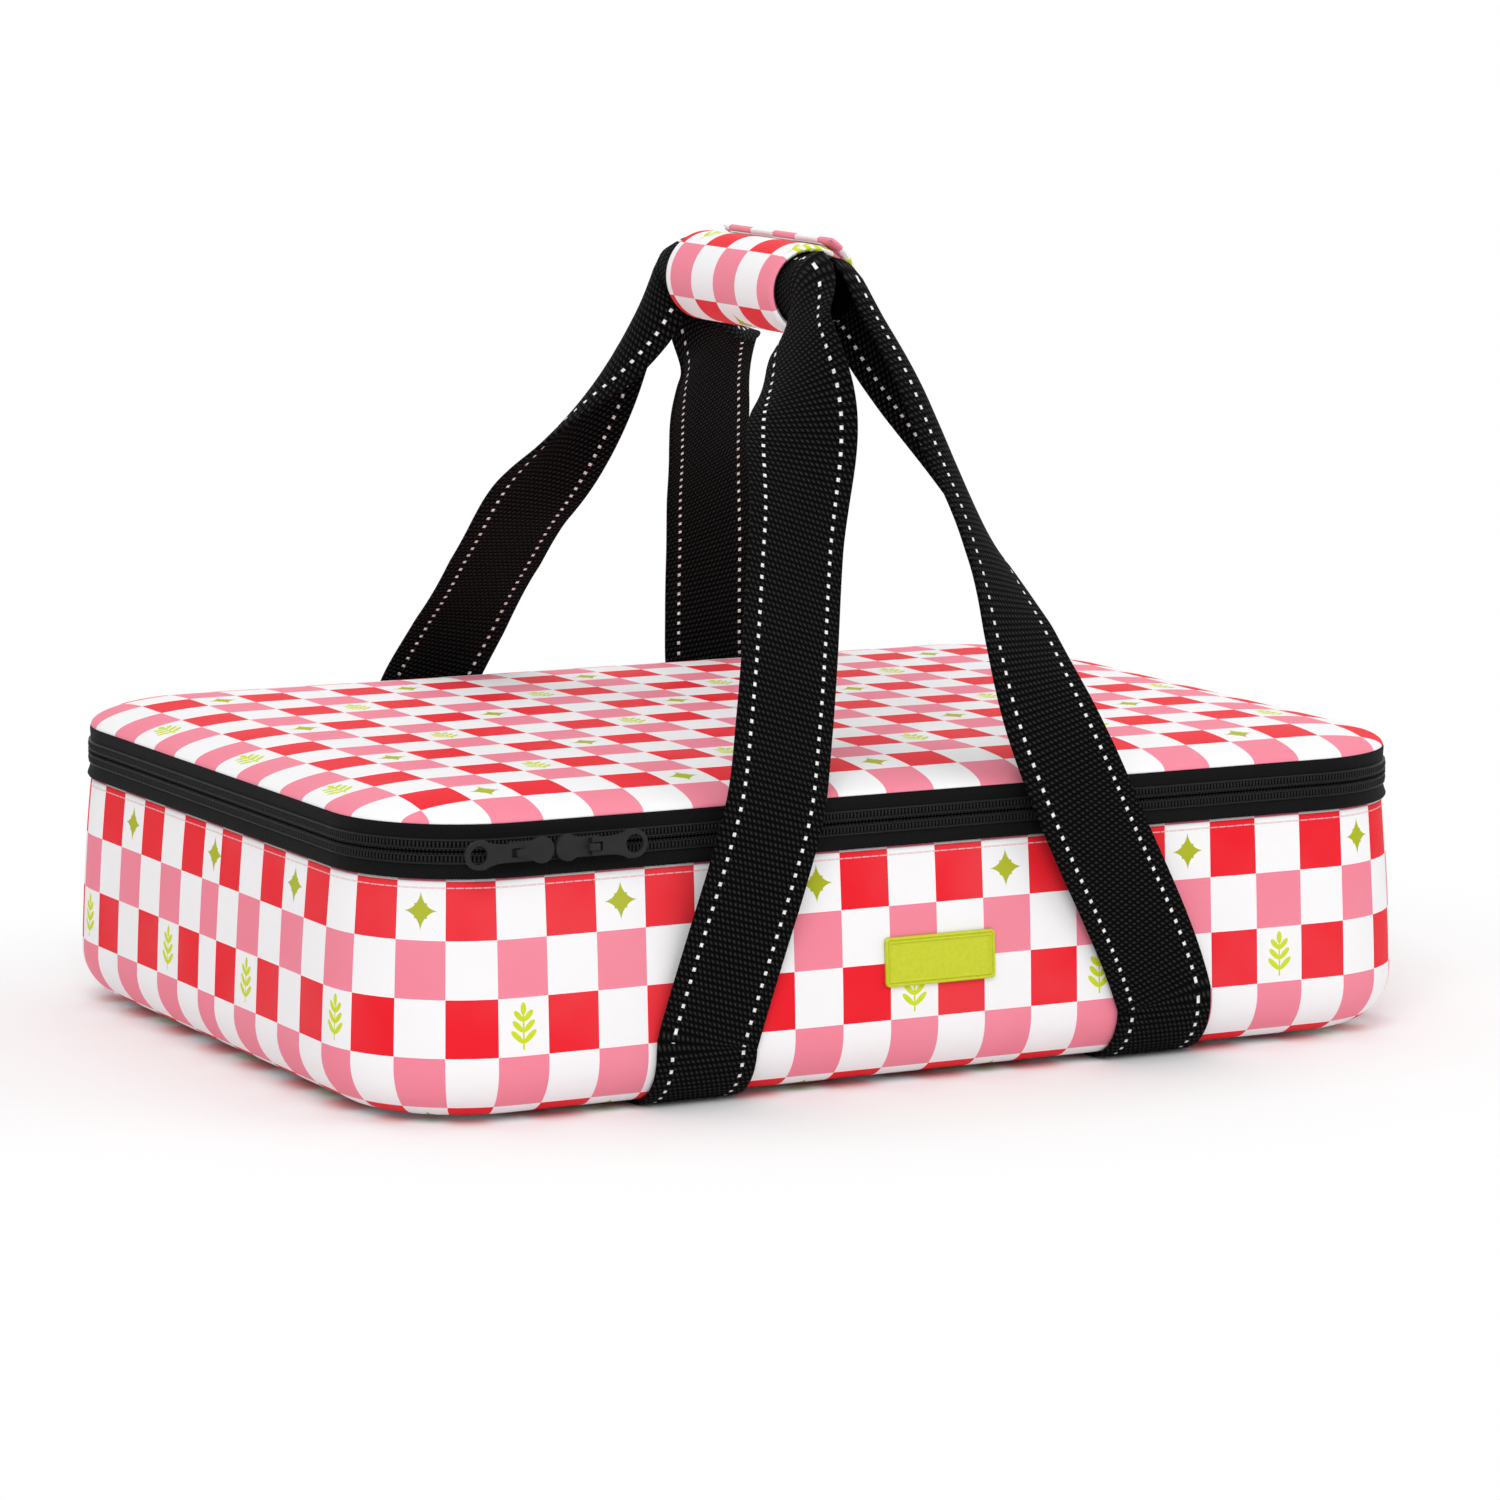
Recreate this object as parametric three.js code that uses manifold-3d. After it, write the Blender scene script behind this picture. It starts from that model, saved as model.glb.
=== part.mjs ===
// Casserole carrier: a low insulated case with a zipped lid, carried by two loops of webbing that
// drop away to the sides once the padded grip that holds them together is opened.
// Millimetres, +Z up. X runs along the front, Y towards the hinged back. The origin is the middle of
// the footprint, on the surface that the carrier stands on.
import * as THREE from "three";
import { mergeVertices } from "three/addons/utils/BufferGeometryUtils.js";
import Module from "manifold-3d";

const wasm = await Module();
wasm.setup();

// Driving dimensions of the case, taken at its zip band
const caseWidth = 408;
const caseDepth = 298;
const cornerRadius = 46;
const bodyHeight = 81.6;
const bandHeight = 18.2;
const lidRise = 8.4;
const lidCrownInset = 44;
const bodyFlare = 3.5; // the walls lean out by this much towards the base
const baseFillet = 18;

// Sheets and padding
const shellThickness = 1.2;
const foamThickness = 5;
const liningThickness = 0.8;
const boardThickness = 2.4;
const tapeThickness = 0.8;
const bindingThickness = 0.7;
const seat = 0.3; // gap kept between pieces that touch

// Zip
const coilProud = 1.7;
const coilHeight = 2.8;
const zipParting = 0.5; // gap between the two rows of coils
const zipEndShare = 0.86; // how far round the rear corners the zip runs
const stopLength = 4;
const stopProud = 2.2;

// Sliders and their pulls
const slidersFromEnd = 57.5; // the two sliders stand head to head this far from the left end
const sliderGap = 0.6;
const sliderHeadRadius = 4.5;
const sliderTongueLength = 12;
const sliderTongueWidth = 6.4;
const sliderPlate = 2;
const sliderClearance = 0.5; // between the coils and the slider's plate
const bridgeOffset = 8.5; // from the middle of the head to the pull's pivot
const bridgeWidth = 2.2;
const bridgeWall = 0.9;
const pullLength = 20;
const pullNeckWidth = 6;
const pullEyeWidth = 9.6;
const pullEyeWall = 1.6;
const pullThickness = 1.2;
const pullPinRun = 0.4; // running gap round the pull's cross bar

// Webbing loops
const webbingWidth = 38;
const webbingThickness = 1.6;
const strapBaseX = 90; // each loop turns about its own line beside the foot of the case
const pivotHeight = 22;
const strapPassGap = 0.6; // free space between the pulls and the webbing that hangs over them
const gripHeight = 265.4; // centre of the grip
const gripLength = 90;
const gripShiftX = 2; // the grip hangs a little off the middle of the case, and turned
const gripShiftY = -14;
const gripYawDegrees = -3;
const gripLeadIn = 12; // the webbing is level and fully curled this far before the grip
const curlRadius = 12.1; // inside the grip each webbing curls into half a tube
const tubeParting = 0.8;

// Padded grip
const gripPadding = 2.4;
const padEndAngle = 26; // degrees above the horizontal, on the right, where the inner end stops
const flapEndAngle = 68;
const flapRise = 4.2; // how far the free edge has left the round of the grip
const flapLeaving = 1.2; // the power of the angle by which it leaves
const fastenerLength = 76;
const fastenerThickness = 0.35;
const loopTapeAngles = [34, 66];
const hookTapeAngles = [57, 67];

// Label patch
const patchWidth = 43;
const patchHeight = 17;
const patchThickness = 2;
const patchRim = 1.8;
const patchRecess = 0.6;
const patchRadius = 1.6;
const patchCentreHeight = 44;

// How finely curved pieces are divided
const cornerSteps = 6;
const filletSteps = 4;
const crownSteps = 5;
const webbingColumns = 6;
const webbingStations = 84;
const roundSteps = 4;
const gripSteps = 20;
const headSides = 20;

// Heights and stand-offs worked out from the sizes above
const slidersMeet = slidersFromEnd - caseWidth / 2;
const underside = webbingThickness + seat;
const bandLow = underside + bodyHeight;
const bandHigh = bandLow + bandHeight;
const zipCentre = (bandLow + bandHigh) / 2;
const bodyRim = zipCentre - zipParting / 2;
const lidRim = zipCentre + zipParting / 2;
const foamDepth = shellThickness + seat;
const liningDepth = foamDepth + foamThickness + seat;
const insideDepth = liningDepth + liningThickness;
const floorUnderFoam = shellThickness + seat + boardThickness + seat;
const floorUnderLining = floorUnderFoam + foamThickness + seat;
const plateOut = seat + coilProud + sliderClearance;
const pullOut = plateOut + sliderPlate + seat + pullThickness / 2;
const bridgeOut = pullOut + pullThickness / 2 + pullPinRun + bridgeWall;

const red = 0xfb323e;
const white = 0xf7f4f4;
const black = 0x0b0b0b;
const coilGrey = 0x262626;
const lime = 0xc8d012;
const liningGrey = 0xc9ccd0;
const foamWhite = 0xe9e6de;

const carrier = new THREE.Group();
const quarterTurn = Math.PI / 2;

function finish(colour, roughness, metalness = 0) {
  return new THREE.MeshStandardMaterial({ color: colour, roughness, metalness });
}

function place(name, geometry, material, parent = carrier) {
  const mesh = new THREE.Mesh(geometry, material);
  mesh.name = name;
  parent.add(mesh);
  return mesh;
}

// The volume inside a closed set of triangles, negative when they face inwards
function signedVolume(points, triangles) {
  let volume = 0;
  for (let i = 0; i < triangles.length; i += 3) {
    const [a, b, c] = [0, 1, 2].map((k) => points[triangles[i + k]]);
    volume += a.dot(b.clone().cross(c)) / 6;
  }
  return volume;
}

// A closed skin over rings of points, each joined to the next. Its ends are capped, unless the last
// ring joins the first.
function loft(rings, endless = false) {
  const count = rings[0].length;
  const points = rings.flat();
  const triangles = [];
  const spans = endless ? rings.length : rings.length - 1;
  for (let r = 0; r < spans; r++) {
    const here = r * count;
    const there = ((r + 1) % rings.length) * count;
    for (let i = 0; i < count; i++) {
      const next = (i + 1) % count;
      triangles.push(here + i, here + next, there + next);
      triangles.push(here + i, there + next, there + i);
    }
  }
  if (!endless) {
    const last = (rings.length - 1) * count;
    for (let i = 1; i + 1 < count; i++) {
      triangles.push(0, i + 1, i);
      triangles.push(last, last + i, last + i + 1);
    }
  }
  if (signedVolume(points, triangles) < 0) triangles.reverse();
  const geometry = new THREE.BufferGeometry().setFromPoints(points);
  geometry.setIndex(triangles);
  return geometry;
}

function toSolid(geometry) {
  const bare = geometry.clone();
  bare.deleteAttribute("normal");
  bare.deleteAttribute("uv");
  const merged = mergeVertices(bare);
  return new wasm.Manifold(
    new wasm.Mesh({
      numProp: 3,
      vertProperties: merged.attributes.position.array,
      triVerts: new Uint32Array(merged.index.array),
    }),
  );
}

function toGeometry(solid) {
  const mesh = solid.getMesh();
  const geometry = new THREE.BufferGeometry();
  geometry.setAttribute("position", new THREE.BufferAttribute(mesh.vertProperties, 3));
  geometry.setIndex(new THREE.BufferAttribute(mesh.triVerts, 1));
  return geometry;
}

function joined(...geometries) {
  return toGeometry(geometries.map(toSolid).reduce((all, one) => all.add(one)));
}

// A flat outline in X and Z, made into a slab of the given length along Y, centred on Y = 0
function slab(outline, length) {
  const geometry = new THREE.ExtrudeGeometry(outline, {
    depth: length,
    bevelEnabled: false,
    curveSegments: headSides / 2,
  });
  return geometry.rotateX(quarterTurn).translate(0, length / 2, 0);
}

// One closed ring round the case's plan outline, drawn in by inset
function planRing(inset, z) {
  const ring = [];
  const radius = cornerRadius - inset;
  const corners = [[1, 1], [-1, 1], [-1, -1], [1, -1]];
  corners.forEach(([sx, sy], quarter) => {
    for (let i = 0; i <= cornerSteps; i++) {
      const angle = (quarter + i / cornerSteps) * quarterTurn;
      ring.push(
        new THREE.Vector3(
          sx * (caseWidth / 2 - cornerRadius) + radius * Math.cos(angle),
          sy * (caseDepth / 2 - cornerRadius) + radius * Math.sin(angle),
          z,
        ),
      );
    }
  });
  return ring;
}

// Rings from the edge of the floor up the wall to a rim, at some depth below the outer skin
function bodyRings(depth, floorDepth, rim) {
  const rings = [];
  for (let i = 0; i <= filletSteps; i++) {
    const angle = (i / filletSteps) * quarterTurn;
    rings.push(
      planRing(
        baseFillet - bodyFlare - (baseFillet - depth) * Math.sin(angle),
        underside + baseFillet - (baseFillet - floorDepth) * Math.cos(angle),
      ),
    );
  }
  rings.push(planRing(depth, bandLow));
  if (rim > bandLow) rings.push(planRing(depth, rim));
  return rings;
}

function bodyTray(depth, floorDepth, thickness, rim) {
  return loft([
    ...bodyRings(depth, floorDepth, rim),
    ...bodyRings(depth + thickness, floorDepth + thickness, rim).reverse(),
  ]);
}

// Rings from the lid's rim up its side and over the rounded edge to the flat of the top
function lidRings(depth, rim) {
  const rings = rim < bandHigh ? [planRing(depth, rim)] : [];
  for (let i = 0; i <= crownSteps; i++) {
    const angle = (i / crownSteps) * quarterTurn;
    rings.push(
      planRing(
        lidCrownInset - (lidCrownInset - depth) * Math.cos(angle),
        bandHigh + (lidRise - depth) * Math.sin(angle),
      ),
    );
  }
  return rings;
}

function lidCap(depth, thickness, rim) {
  return loft([...lidRings(depth + thickness, rim).reverse(), ...lidRings(depth, rim)]);
}

// A sewn band that covers the edges of the padding and the lining
function rimBinding(low) {
  const high = low + bindingThickness;
  return loft(
    [
      planRing(foamDepth, low),
      planRing(foamDepth, high),
      planRing(insideDepth, high),
      planRing(insideDepth, low),
    ],
    true,
  );
}

// Stations round one plan corner, each a point of the outline and its outward direction
function cornerArc(sx, sy, from, to) {
  const stations = [];
  for (let i = 0; i <= cornerSteps; i++) {
    const angle = THREE.MathUtils.lerp(from, to, i / cornerSteps) * quarterTurn;
    const out = new THREE.Vector3(Math.cos(angle), Math.sin(angle), 0);
    const centre = new THREE.Vector3(
      sx * (caseWidth / 2 - cornerRadius),
      sy * (caseDepth / 2 - cornerRadius),
      0,
    );
    stations.push({ at: centre.addScaledVector(out, cornerRadius), out });
  }
  return stations;
}

// Stations along the zip, from one rear corner round the front to the other
function zipPath(endShare) {
  return [
    ...cornerArc(-1, 1, 2 - endShare, 2),
    ...cornerArc(-1, -1, 2, 3),
    ...cornerArc(1, -1, 3, 4),
    ...cornerArc(1, 1, 4, 4 + endShare),
  ];
}

// A strip along some stations, with a rectangular section
function zipStrip(path, inner, outer, low, high) {
  const section = [[inner, low], [outer, low], [outer, high], [inner, high]];
  return loft(
    path.map(({ at, out }) =>
      section.map(([off, z]) => at.clone().addScaledVector(out, off).setZ(z)),
    ),
  );
}

// One station of a webbing, as a ring round its section. The section is flat, or bows towards its
// outer face when curl is more than 0, up to half a tube when curl is 1.
function webbingRing({ at, across, out, halfWidth = webbingWidth / 2, curl = 0 }) {
  const point = (share, side) => {
    const turn = (share * halfWidth * curl) / curlRadius;
    const face = across.clone().multiplyScalar(Math.sin(turn)).addScaledVector(out, Math.cos(turn));
    const flat = at.clone().addScaledVector(across, share * halfWidth);
    const bowed = () => {
      const radius = curlRadius / curl;
      return at.clone().addScaledVector(face, radius).addScaledVector(out, -radius);
    };
    return (curl > 0 ? bowed() : flat).addScaledVector(face, (side * webbingThickness) / 2);
  };
  const shares = Array.from({ length: webbingColumns + 1 }, (_, i) => (2 * i) / webbingColumns - 1);
  return [
    ...shares.map((share) => point(share, 1)),
    ...shares.reverse().map((share) => point(share, -1)),
  ];
}

// The rounded end of a webbing, from its tip to its full width, along a direction
function roundEnd(centre, along, across, out) {
  const rings = [];
  for (let i = 0; i < roundSteps; i++) {
    const angle = ((roundSteps - i - 1 / 2) / roundSteps) * quarterTurn;
    rings.push(
      webbingRing({
        at: centre.clone().addScaledVector(along, (Math.sin(angle) * webbingWidth) / 2),
        across,
        out,
        halfWidth: (Math.cos(angle) * webbingWidth) / 2,
      }),
    );
  }
  return rings;
}

// The part of a webbing that is sewn to the case: under the base and up to the pivots
function strapBase(side) {
  const across = new THREE.Vector3(1, 0, 0);
  const x = side * strapBaseX;
  const filletCentreY = caseDepth / 2 + bodyFlare - baseFillet;
  const filletCentreZ = underside + baseFillet;
  const radius = baseFillet + seat + webbingThickness / 2;
  const tabY = filletCentreY + radius;
  const half = (sy) => {
    const outward = new THREE.Vector3(0, sy, 0);
    const pivot = new THREE.Vector3(x, sy * tabY, pivotHeight);
    const rings = roundEnd(pivot, new THREE.Vector3(0, 0, 1), across, outward);
    rings.push(webbingRing({ at: pivot, across, out: outward }));
    for (let i = 0; i <= filletSteps; i++) {
      const angle = (i / filletSteps) * quarterTurn;
      const out = new THREE.Vector3(0, sy * Math.cos(angle), -Math.sin(angle));
      const centre = new THREE.Vector3(x, sy * filletCentreY, filletCentreZ);
      rings.push(webbingRing({ at: centre.addScaledVector(out, radius), across, out }));
    }
    return rings;
  };
  return loft([...half(-1), ...half(1).reverse()]);
}

// The free legs of the webbings, from the case up to the grip, at these shares of the height. Each leg has
// its shares of the way in from the case to the end of the grip, a bow and a sway towards the middle, and
// the distances from the grip at which it is turned flat to the case and has lost its curl.
const legHeightShares = [0.24, 0.33, 0.43, 0.54, 0.64, 0.74, 0.86, 0.94, 1];
const legs = {
  left: {
    front: {
      inShares: [0, 0, 0.09, 0.22, 0.36, 0.5, 0.69, 0.87, 1],
      bowShare: -0.03,
      swayShare: 0,
      turnEnd: 112,
      curlStart: 1,
      curlEnd: 34,
    },
    back: {
      inShares: [0, 0, 0.14, 0.38, 0.6, 0.77, 0.88, 0.95, 1],
      bowShare: 0.1,
      swayShare: 0.14,
      turnEnd: 112,
      curlStart: 40,
      curlEnd: 130,
    },
  },
  right: {
    front: {
      inShares: [0, 0, 0.08, 0.23, 0.39, 0.55, 0.71, 0.87, 1],
      bowShare: 0.144,
      swayShare: 0.09,
      turnEnd: 215,
      curlStart: 33,
      curlEnd: 145,
    },
    back: {
      inShares: [0, 0, 0.04, 0.12, 0.24, 0.43, 0.68, 0.86, 1],
      bowShare: -0.19,
      swayShare: 0.06,
      turnEnd: 60,
      curlStart: 6,
      curlEnd: 102,
    },
  },
};
const turnStart = 1;

// A point inside the grip, from its own frame
function inGrip(x, y) {
  return new THREE.Vector3(x, y, 0)
    .applyAxisAngle(new THREE.Vector3(0, 0, 1), THREE.MathUtils.degToRad(gripYawDegrees))
    .add(new THREE.Vector3(gripShiftX, gripShiftY, gripHeight));
}

function strapLoop(side) {
  const tabY = caseDepth / 2 + bodyFlare + seat + webbingThickness + seat + webbingThickness / 2;
  const hangY = caseDepth / 2 + bridgeOut + strapPassGap + webbingThickness / 2;
  const tubeX = side * (tubeParting / 2 + curlRadius);
  const climb = gripHeight - pivotHeight;
  const pair = side < 0 ? legs.left : legs.right;
  const legPoints = (end, leg) => {
    const top = inGrip(tubeX, end * (gripLength / 2 + gripLeadIn));
    const point = (up, y) => {
      const bow = leg.bowShare * Math.sin(up * Math.PI) ** 2;
      const sway = leg.swayShare * Math.sin(2 * up * Math.PI) * Math.sin(up * Math.PI);
      const x = THREE.MathUtils.lerp(side * strapBaseX, top.x, up + bow + sway);
      return new THREE.Vector3(x, y, pivotHeight + up * climb);
    };
    const points = legHeightShares.map((up, i) =>
      point(up, THREE.MathUtils.lerp(end * hangY, top.y, leg.inShares[i])),
    );
    const tabTop = webbingWidth / 2 / climb;
    return [point(0, end * tabY), point(tabTop, end * tabY), ...points];
  };
  const route = [
    ...legPoints(-1, pair.front),
    ...[-1, -0.5, 0, 0.5, 1].map((share) => inGrip(tubeX, (share * (gripLength + gripLeadIn)) / 2)),
    ...legPoints(1, pair.back).reverse(),
  ];
  const curve = new THREE.CatmullRomCurve3(route, false, "centripetal");
  const gripAlong = inGrip(0, 1).sub(inGrip(0, 0));
  const gripOut = inGrip(side, 0).sub(inGrip(0, 0));
  const stations = Array.from({ length: webbingStations + 1 }, (_, i) => {
    const at = curve.getPointAt(i / webbingStations);
    const along = curve.getTangentAt(i / webbingStations);
    const past = at.clone().sub(inGrip(0, 0)).dot(gripAlong);
    return { at, along, past, run: (i / webbingStations) * curve.getLength() };
  });
  const middle = stations.reduce((best, next) =>
    Math.abs(next.past) < Math.abs(best.past) ? next : best,
  );
  const rings = [];
  const pivots = [];
  stations.forEach(({ at, along, past, run }, i) => {
    const end = Math.sign(past);
    const leg = past < 0 ? pair.front : pair.back;
    const reach = Math.abs(run - middle.run + middle.past) - gripLength / 2;
    const twist = quarterTurn * (1 - THREE.MathUtils.smoothstep(reach, turnStart, leg.turnEnd));
    const facing = gripOut.clone().multiplyScalar(Math.sin(twist));
    facing.y += end * Math.cos(twist);
    const out = facing.addScaledVector(along, -facing.dot(along)).normalize();
    const across = along.clone().cross(out);
    const curl = 1 - THREE.MathUtils.smoothstep(reach, leg.curlStart, leg.curlEnd);
    if (i === 0 || i === webbingStations) pivots.push({ at, across, out, foot: along, end });
    rings.push(webbingRing({ at, across, out, curl }));
  });
  const ends = pivots.map(({ at, across, out, foot, end }) =>
    roundEnd(at, foot.clone().multiplyScalar(end), across, out),
  );
  return loft([...ends[0], ...rings, ...ends[1].reverse()]);
}

// A curved slab round the grip's centre line, between two radii that may change with the angle
function gripSlab(innerAt, outerAt, fromDegrees, toDegrees, length) {
  const angles = Array.from({ length: gripSteps + 1 }, (_, i) =>
    THREE.MathUtils.degToRad(THREE.MathUtils.lerp(fromDegrees, toDegrees, i / gripSteps)),
  );
  const on = (radius) => (angle) =>
    new THREE.Vector2(radius(angle) * Math.cos(angle), radius(angle) * Math.sin(angle));
  const outline = new THREE.Shape([...angles.map(on(outerAt)), ...angles.reverse().map(on(innerAt))]);
  const turn = THREE.MathUtils.degToRad(gripYawDegrees);
  return slab(outline, length).rotateZ(turn).translate(gripShiftX, gripShiftY, gripHeight);
}

const gripInner = curlRadius + tubeParting / 2 + webbingThickness / 2 + seat;
const gripOuter = gripInner + gripPadding;
const flapStartDegrees = -90;

// The outer layer of the wrap leaves the grip as it comes round, so that its free edge stands off.
function flapInnerAt(angle) {
  const start = THREE.MathUtils.degToRad(flapStartDegrees);
  const end = THREE.MathUtils.degToRad(flapEndAngle);
  const share = (angle - start) / (end - start);
  return gripInner + flapRise * Math.pow(Math.max(share, 0), flapLeaving);
}

// A zip slider in its own frame: plate against the coils, +Y into the case, pull towards -X
function sliderGeometry() {
  const plateMiddle = -(plateOut + sliderPlate / 2);
  const head = new THREE.CylinderGeometry(
    sliderHeadRadius,
    sliderHeadRadius,
    sliderPlate,
    headSides,
  ).translate(0, plateMiddle, 0);
  const tongue = new THREE.BoxGeometry(sliderTongueLength, sliderPlate, sliderTongueWidth).translate(
    -sliderTongueLength / 2,
    plateMiddle,
    0,
  );
  const cavity = pullThickness / 2 + pullPinRun;
  const leg = cavity + bridgeWall;
  const foot = plateOut + sliderPlate / 2;
  const arch = new THREE.Shape([
    new THREE.Vector2(-leg, -foot),
    new THREE.Vector2(-leg, -bridgeOut),
    new THREE.Vector2(leg, -bridgeOut),
    new THREE.Vector2(leg, -foot),
    new THREE.Vector2(cavity, -foot),
    new THREE.Vector2(cavity, -pullOut - cavity),
    new THREE.Vector2(-cavity, -pullOut - cavity),
    new THREE.Vector2(-cavity, -foot),
  ]);
  const bridge = new THREE.ExtrudeGeometry(arch, { depth: bridgeWidth, bevelEnabled: false });
  bridge.translate(-bridgeOffset, 0, -bridgeWidth / 2);
  return joined(head, tongue, bridge);
}

// The pull in the slider's frame: a flat bar with a window round the bridge and an eye at its end
function pullGeometry() {
  const bar = pullThickness / 2;
  const windowEnd = bar + pullPinRun + bridgeWall + pullPinRun * 2 + bar;
  const windowHalf = bridgeWidth / 2 + pullPinRun;
  const neck = pullNeckWidth / 2;
  const eye = pullEyeWidth / 2;
  const eyeCentre = -(pullLength - eye);
  const outline = new THREE.Shape();
  outline.moveTo(bar, -neck);
  outline.lineTo(bar, neck);
  outline.lineTo(-windowEnd - bar, neck);
  outline.quadraticCurveTo(eyeCentre + eye, neck, eyeCentre + eye / 2, eye);
  outline.absarc(eyeCentre, 0, eye, quarterTurn, 3 * quarterTurn, false);
  outline.lineTo(eyeCentre + eye / 2, -eye);
  outline.quadraticCurveTo(eyeCentre + eye, -neck, -windowEnd - bar, -neck);
  outline.closePath();
  const window = new THREE.Path([
    new THREE.Vector2(-bar, -windowHalf),
    new THREE.Vector2(-bar, windowHalf),
    new THREE.Vector2(-windowEnd, windowHalf),
    new THREE.Vector2(-windowEnd, -windowHalf),
  ]);
  const hole = new THREE.Path().absarc(eyeCentre, 0, eye - pullEyeWall, 0, 4 * quarterTurn, false);
  outline.holes.push(window, hole);
  return slab(outline, pullThickness).translate(-bridgeOffset, -pullOut, 0);
}

// One rounded rectangle of the label, drawn in by inset and standing out from the case
function patchRing(inset, out) {
  const ring = [];
  const radius = Math.max(patchRadius - inset, patchRadius / 4);
  const corners = [[1, 1], [-1, 1], [-1, -1], [1, -1]];
  corners.forEach(([sx, sz], quarter) => {
    for (let i = 0; i <= roundSteps; i++) {
      const angle = (quarter + i / roundSteps) * quarterTurn;
      ring.push(
        new THREE.Vector3(
          sx * (patchWidth / 2 - inset - radius) + radius * Math.cos(angle),
          -out,
          sz * (patchHeight / 2 - inset - radius) + radius * Math.sin(angle),
        ),
      );
    }
  });
  return ring;
}

// The case: printed shell, padding, lining and the board that stiffens its floor
place("body_shell", bodyTray(0, 0, shellThickness, bandLow), finish(red, 0.6));
place(
  "body_foam",
  bodyTray(foamDepth, floorUnderFoam, foamThickness, bodyRim - bindingThickness - seat),
  finish(foamWhite, 0.9),
);
place(
  "body_lining",
  bodyTray(liningDepth, floorUnderLining, liningThickness, bodyRim - bindingThickness - seat),
  finish(liningGrey, 0.4, 0.1),
);
place("body_binding", rimBinding(bodyRim - bindingThickness), finish(black, 0.8));

const boardLow = underside + shellThickness + seat;
const boardInset = baseFillet - bodyFlare;
place(
  "base_board",
  loft([planRing(boardInset, boardLow), planRing(boardInset, boardLow + boardThickness)]),
  finish(white, 0.7),
);

// The lower half of the zip, and the stops at its two ends
const stopShare = stopLength / (cornerRadius * quarterTurn);
const seatShare = seat / (cornerRadius * quarterTurn);
const tapePath = zipPath(zipEndShare);
const coilPath = zipPath(zipEndShare - stopShare - seatShare);
const coilInner = seat;
const coilOuter = seat + coilProud;
place(
  "zip_tape_lower",
  zipStrip(tapePath, -tapeThickness, 0, bandLow + seat, bodyRim),
  finish(black, 0.75),
);
place(
  "zip_coil_lower",
  zipStrip(coilPath, coilInner, coilOuter, bodyRim - coilHeight, bodyRim),
  finish(coilGrey, 0.4),
);
const stopArcs = {
  zip_stop_left: cornerArc(-1, 1, 2 - zipEndShare, 2 - zipEndShare + stopShare),
  zip_stop_right: cornerArc(1, 1, zipEndShare - stopShare, zipEndShare),
};
for (const [name, arc] of Object.entries(stopArcs)) {
  const strip = zipStrip(arc, coilInner, coilInner + stopProud, bodyRim - coilHeight, bodyRim);
  place(name, strip, finish(coilGrey, 0.4));
}

// The label lies flat on the leaning front wall
const wallHeight = bandLow - underside - baseFillet;
const wallLean = Math.atan(bodyFlare / wallHeight);
const label = new THREE.Group();
label.position.set(
  0,
  -(caseDepth / 2 + (bodyFlare * (bandLow - patchCentreHeight)) / wallHeight),
  patchCentreHeight,
);
label.rotation.x = -wallLean;
carrier.add(label);
place(
  "label_patch",
  loft([
    patchRing(0, seat),
    patchRing(0, seat + patchThickness),
    patchRing(patchRim, seat + patchThickness),
    patchRing(patchRim, seat + patchThickness - patchRecess),
  ]),
  finish(lime, 0.45),
  label,
);

place("strap_base_left", strapBase(-1), finish(black, 0.85));
place("strap_base_right", strapBase(1), finish(black, 0.85));

// The fabric hinge along the back, between the two ends of the zip
const stripHalf =
  caseWidth / 2 - cornerRadius + cornerRadius * Math.cos(zipEndShare * quarterTurn) - tapeThickness;
place(
  "hinge_strip",
  new THREE.BoxGeometry(2 * stripHalf, tapeThickness, bandHeight - 2 * seat).translate(
    0,
    caseDepth / 2 - tapeThickness / 2,
    zipCentre,
  ),
  finish(black, 0.75),
);

// The lid, with the upper half of the zip
place("lid_shell", lidCap(0, shellThickness, bandHigh), finish(red, 0.6));
place(
  "lid_foam",
  lidCap(foamDepth, foamThickness, lidRim + bindingThickness + seat),
  finish(foamWhite, 0.9),
);
place(
  "lid_lining",
  lidCap(liningDepth, liningThickness, lidRim + bindingThickness + seat),
  finish(liningGrey, 0.4, 0.1),
);
place("lid_binding", rimBinding(lidRim), finish(black, 0.8));
place(
  "zip_tape_upper",
  zipStrip(tapePath, -tapeThickness, 0, lidRim, bandHigh - seat),
  finish(black, 0.75),
);
place(
  "zip_coil_upper",
  zipStrip(coilPath, coilInner, coilOuter, lidRim, lidRim + coilHeight),
  finish(coilGrey, 0.4),
);

// The loops and the grip that is wrapped round both of them
place("strap_loop_left", strapLoop(-1), finish(black, 0.85));
place("strap_loop_right", strapLoop(1), finish(black, 0.85));
const padFrom = padEndAngle;
const padTo = flapStartDegrees + 360;
const partingDegrees = THREE.MathUtils.radToDeg(seat / gripInner);
place(
  "grip_pad",
  gripSlab(() => gripInner, () => gripOuter, padFrom, padTo - partingDegrees, gripLength),
  finish(white, 0.6),
);
place(
  "grip_flap",
  gripSlab(
    flapInnerAt,
    (angle) => flapInnerAt(angle) + gripPadding,
    flapStartDegrees,
    flapEndAngle,
    gripLength,
  ),
  finish(white, 0.6),
);
place(
  "grip_loop_tape",
  gripSlab(
    () => gripOuter + seat,
    () => gripOuter + seat + fastenerThickness,
    ...loopTapeAngles,
    fastenerLength,
  ),
  finish(white, 0.9),
);
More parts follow.
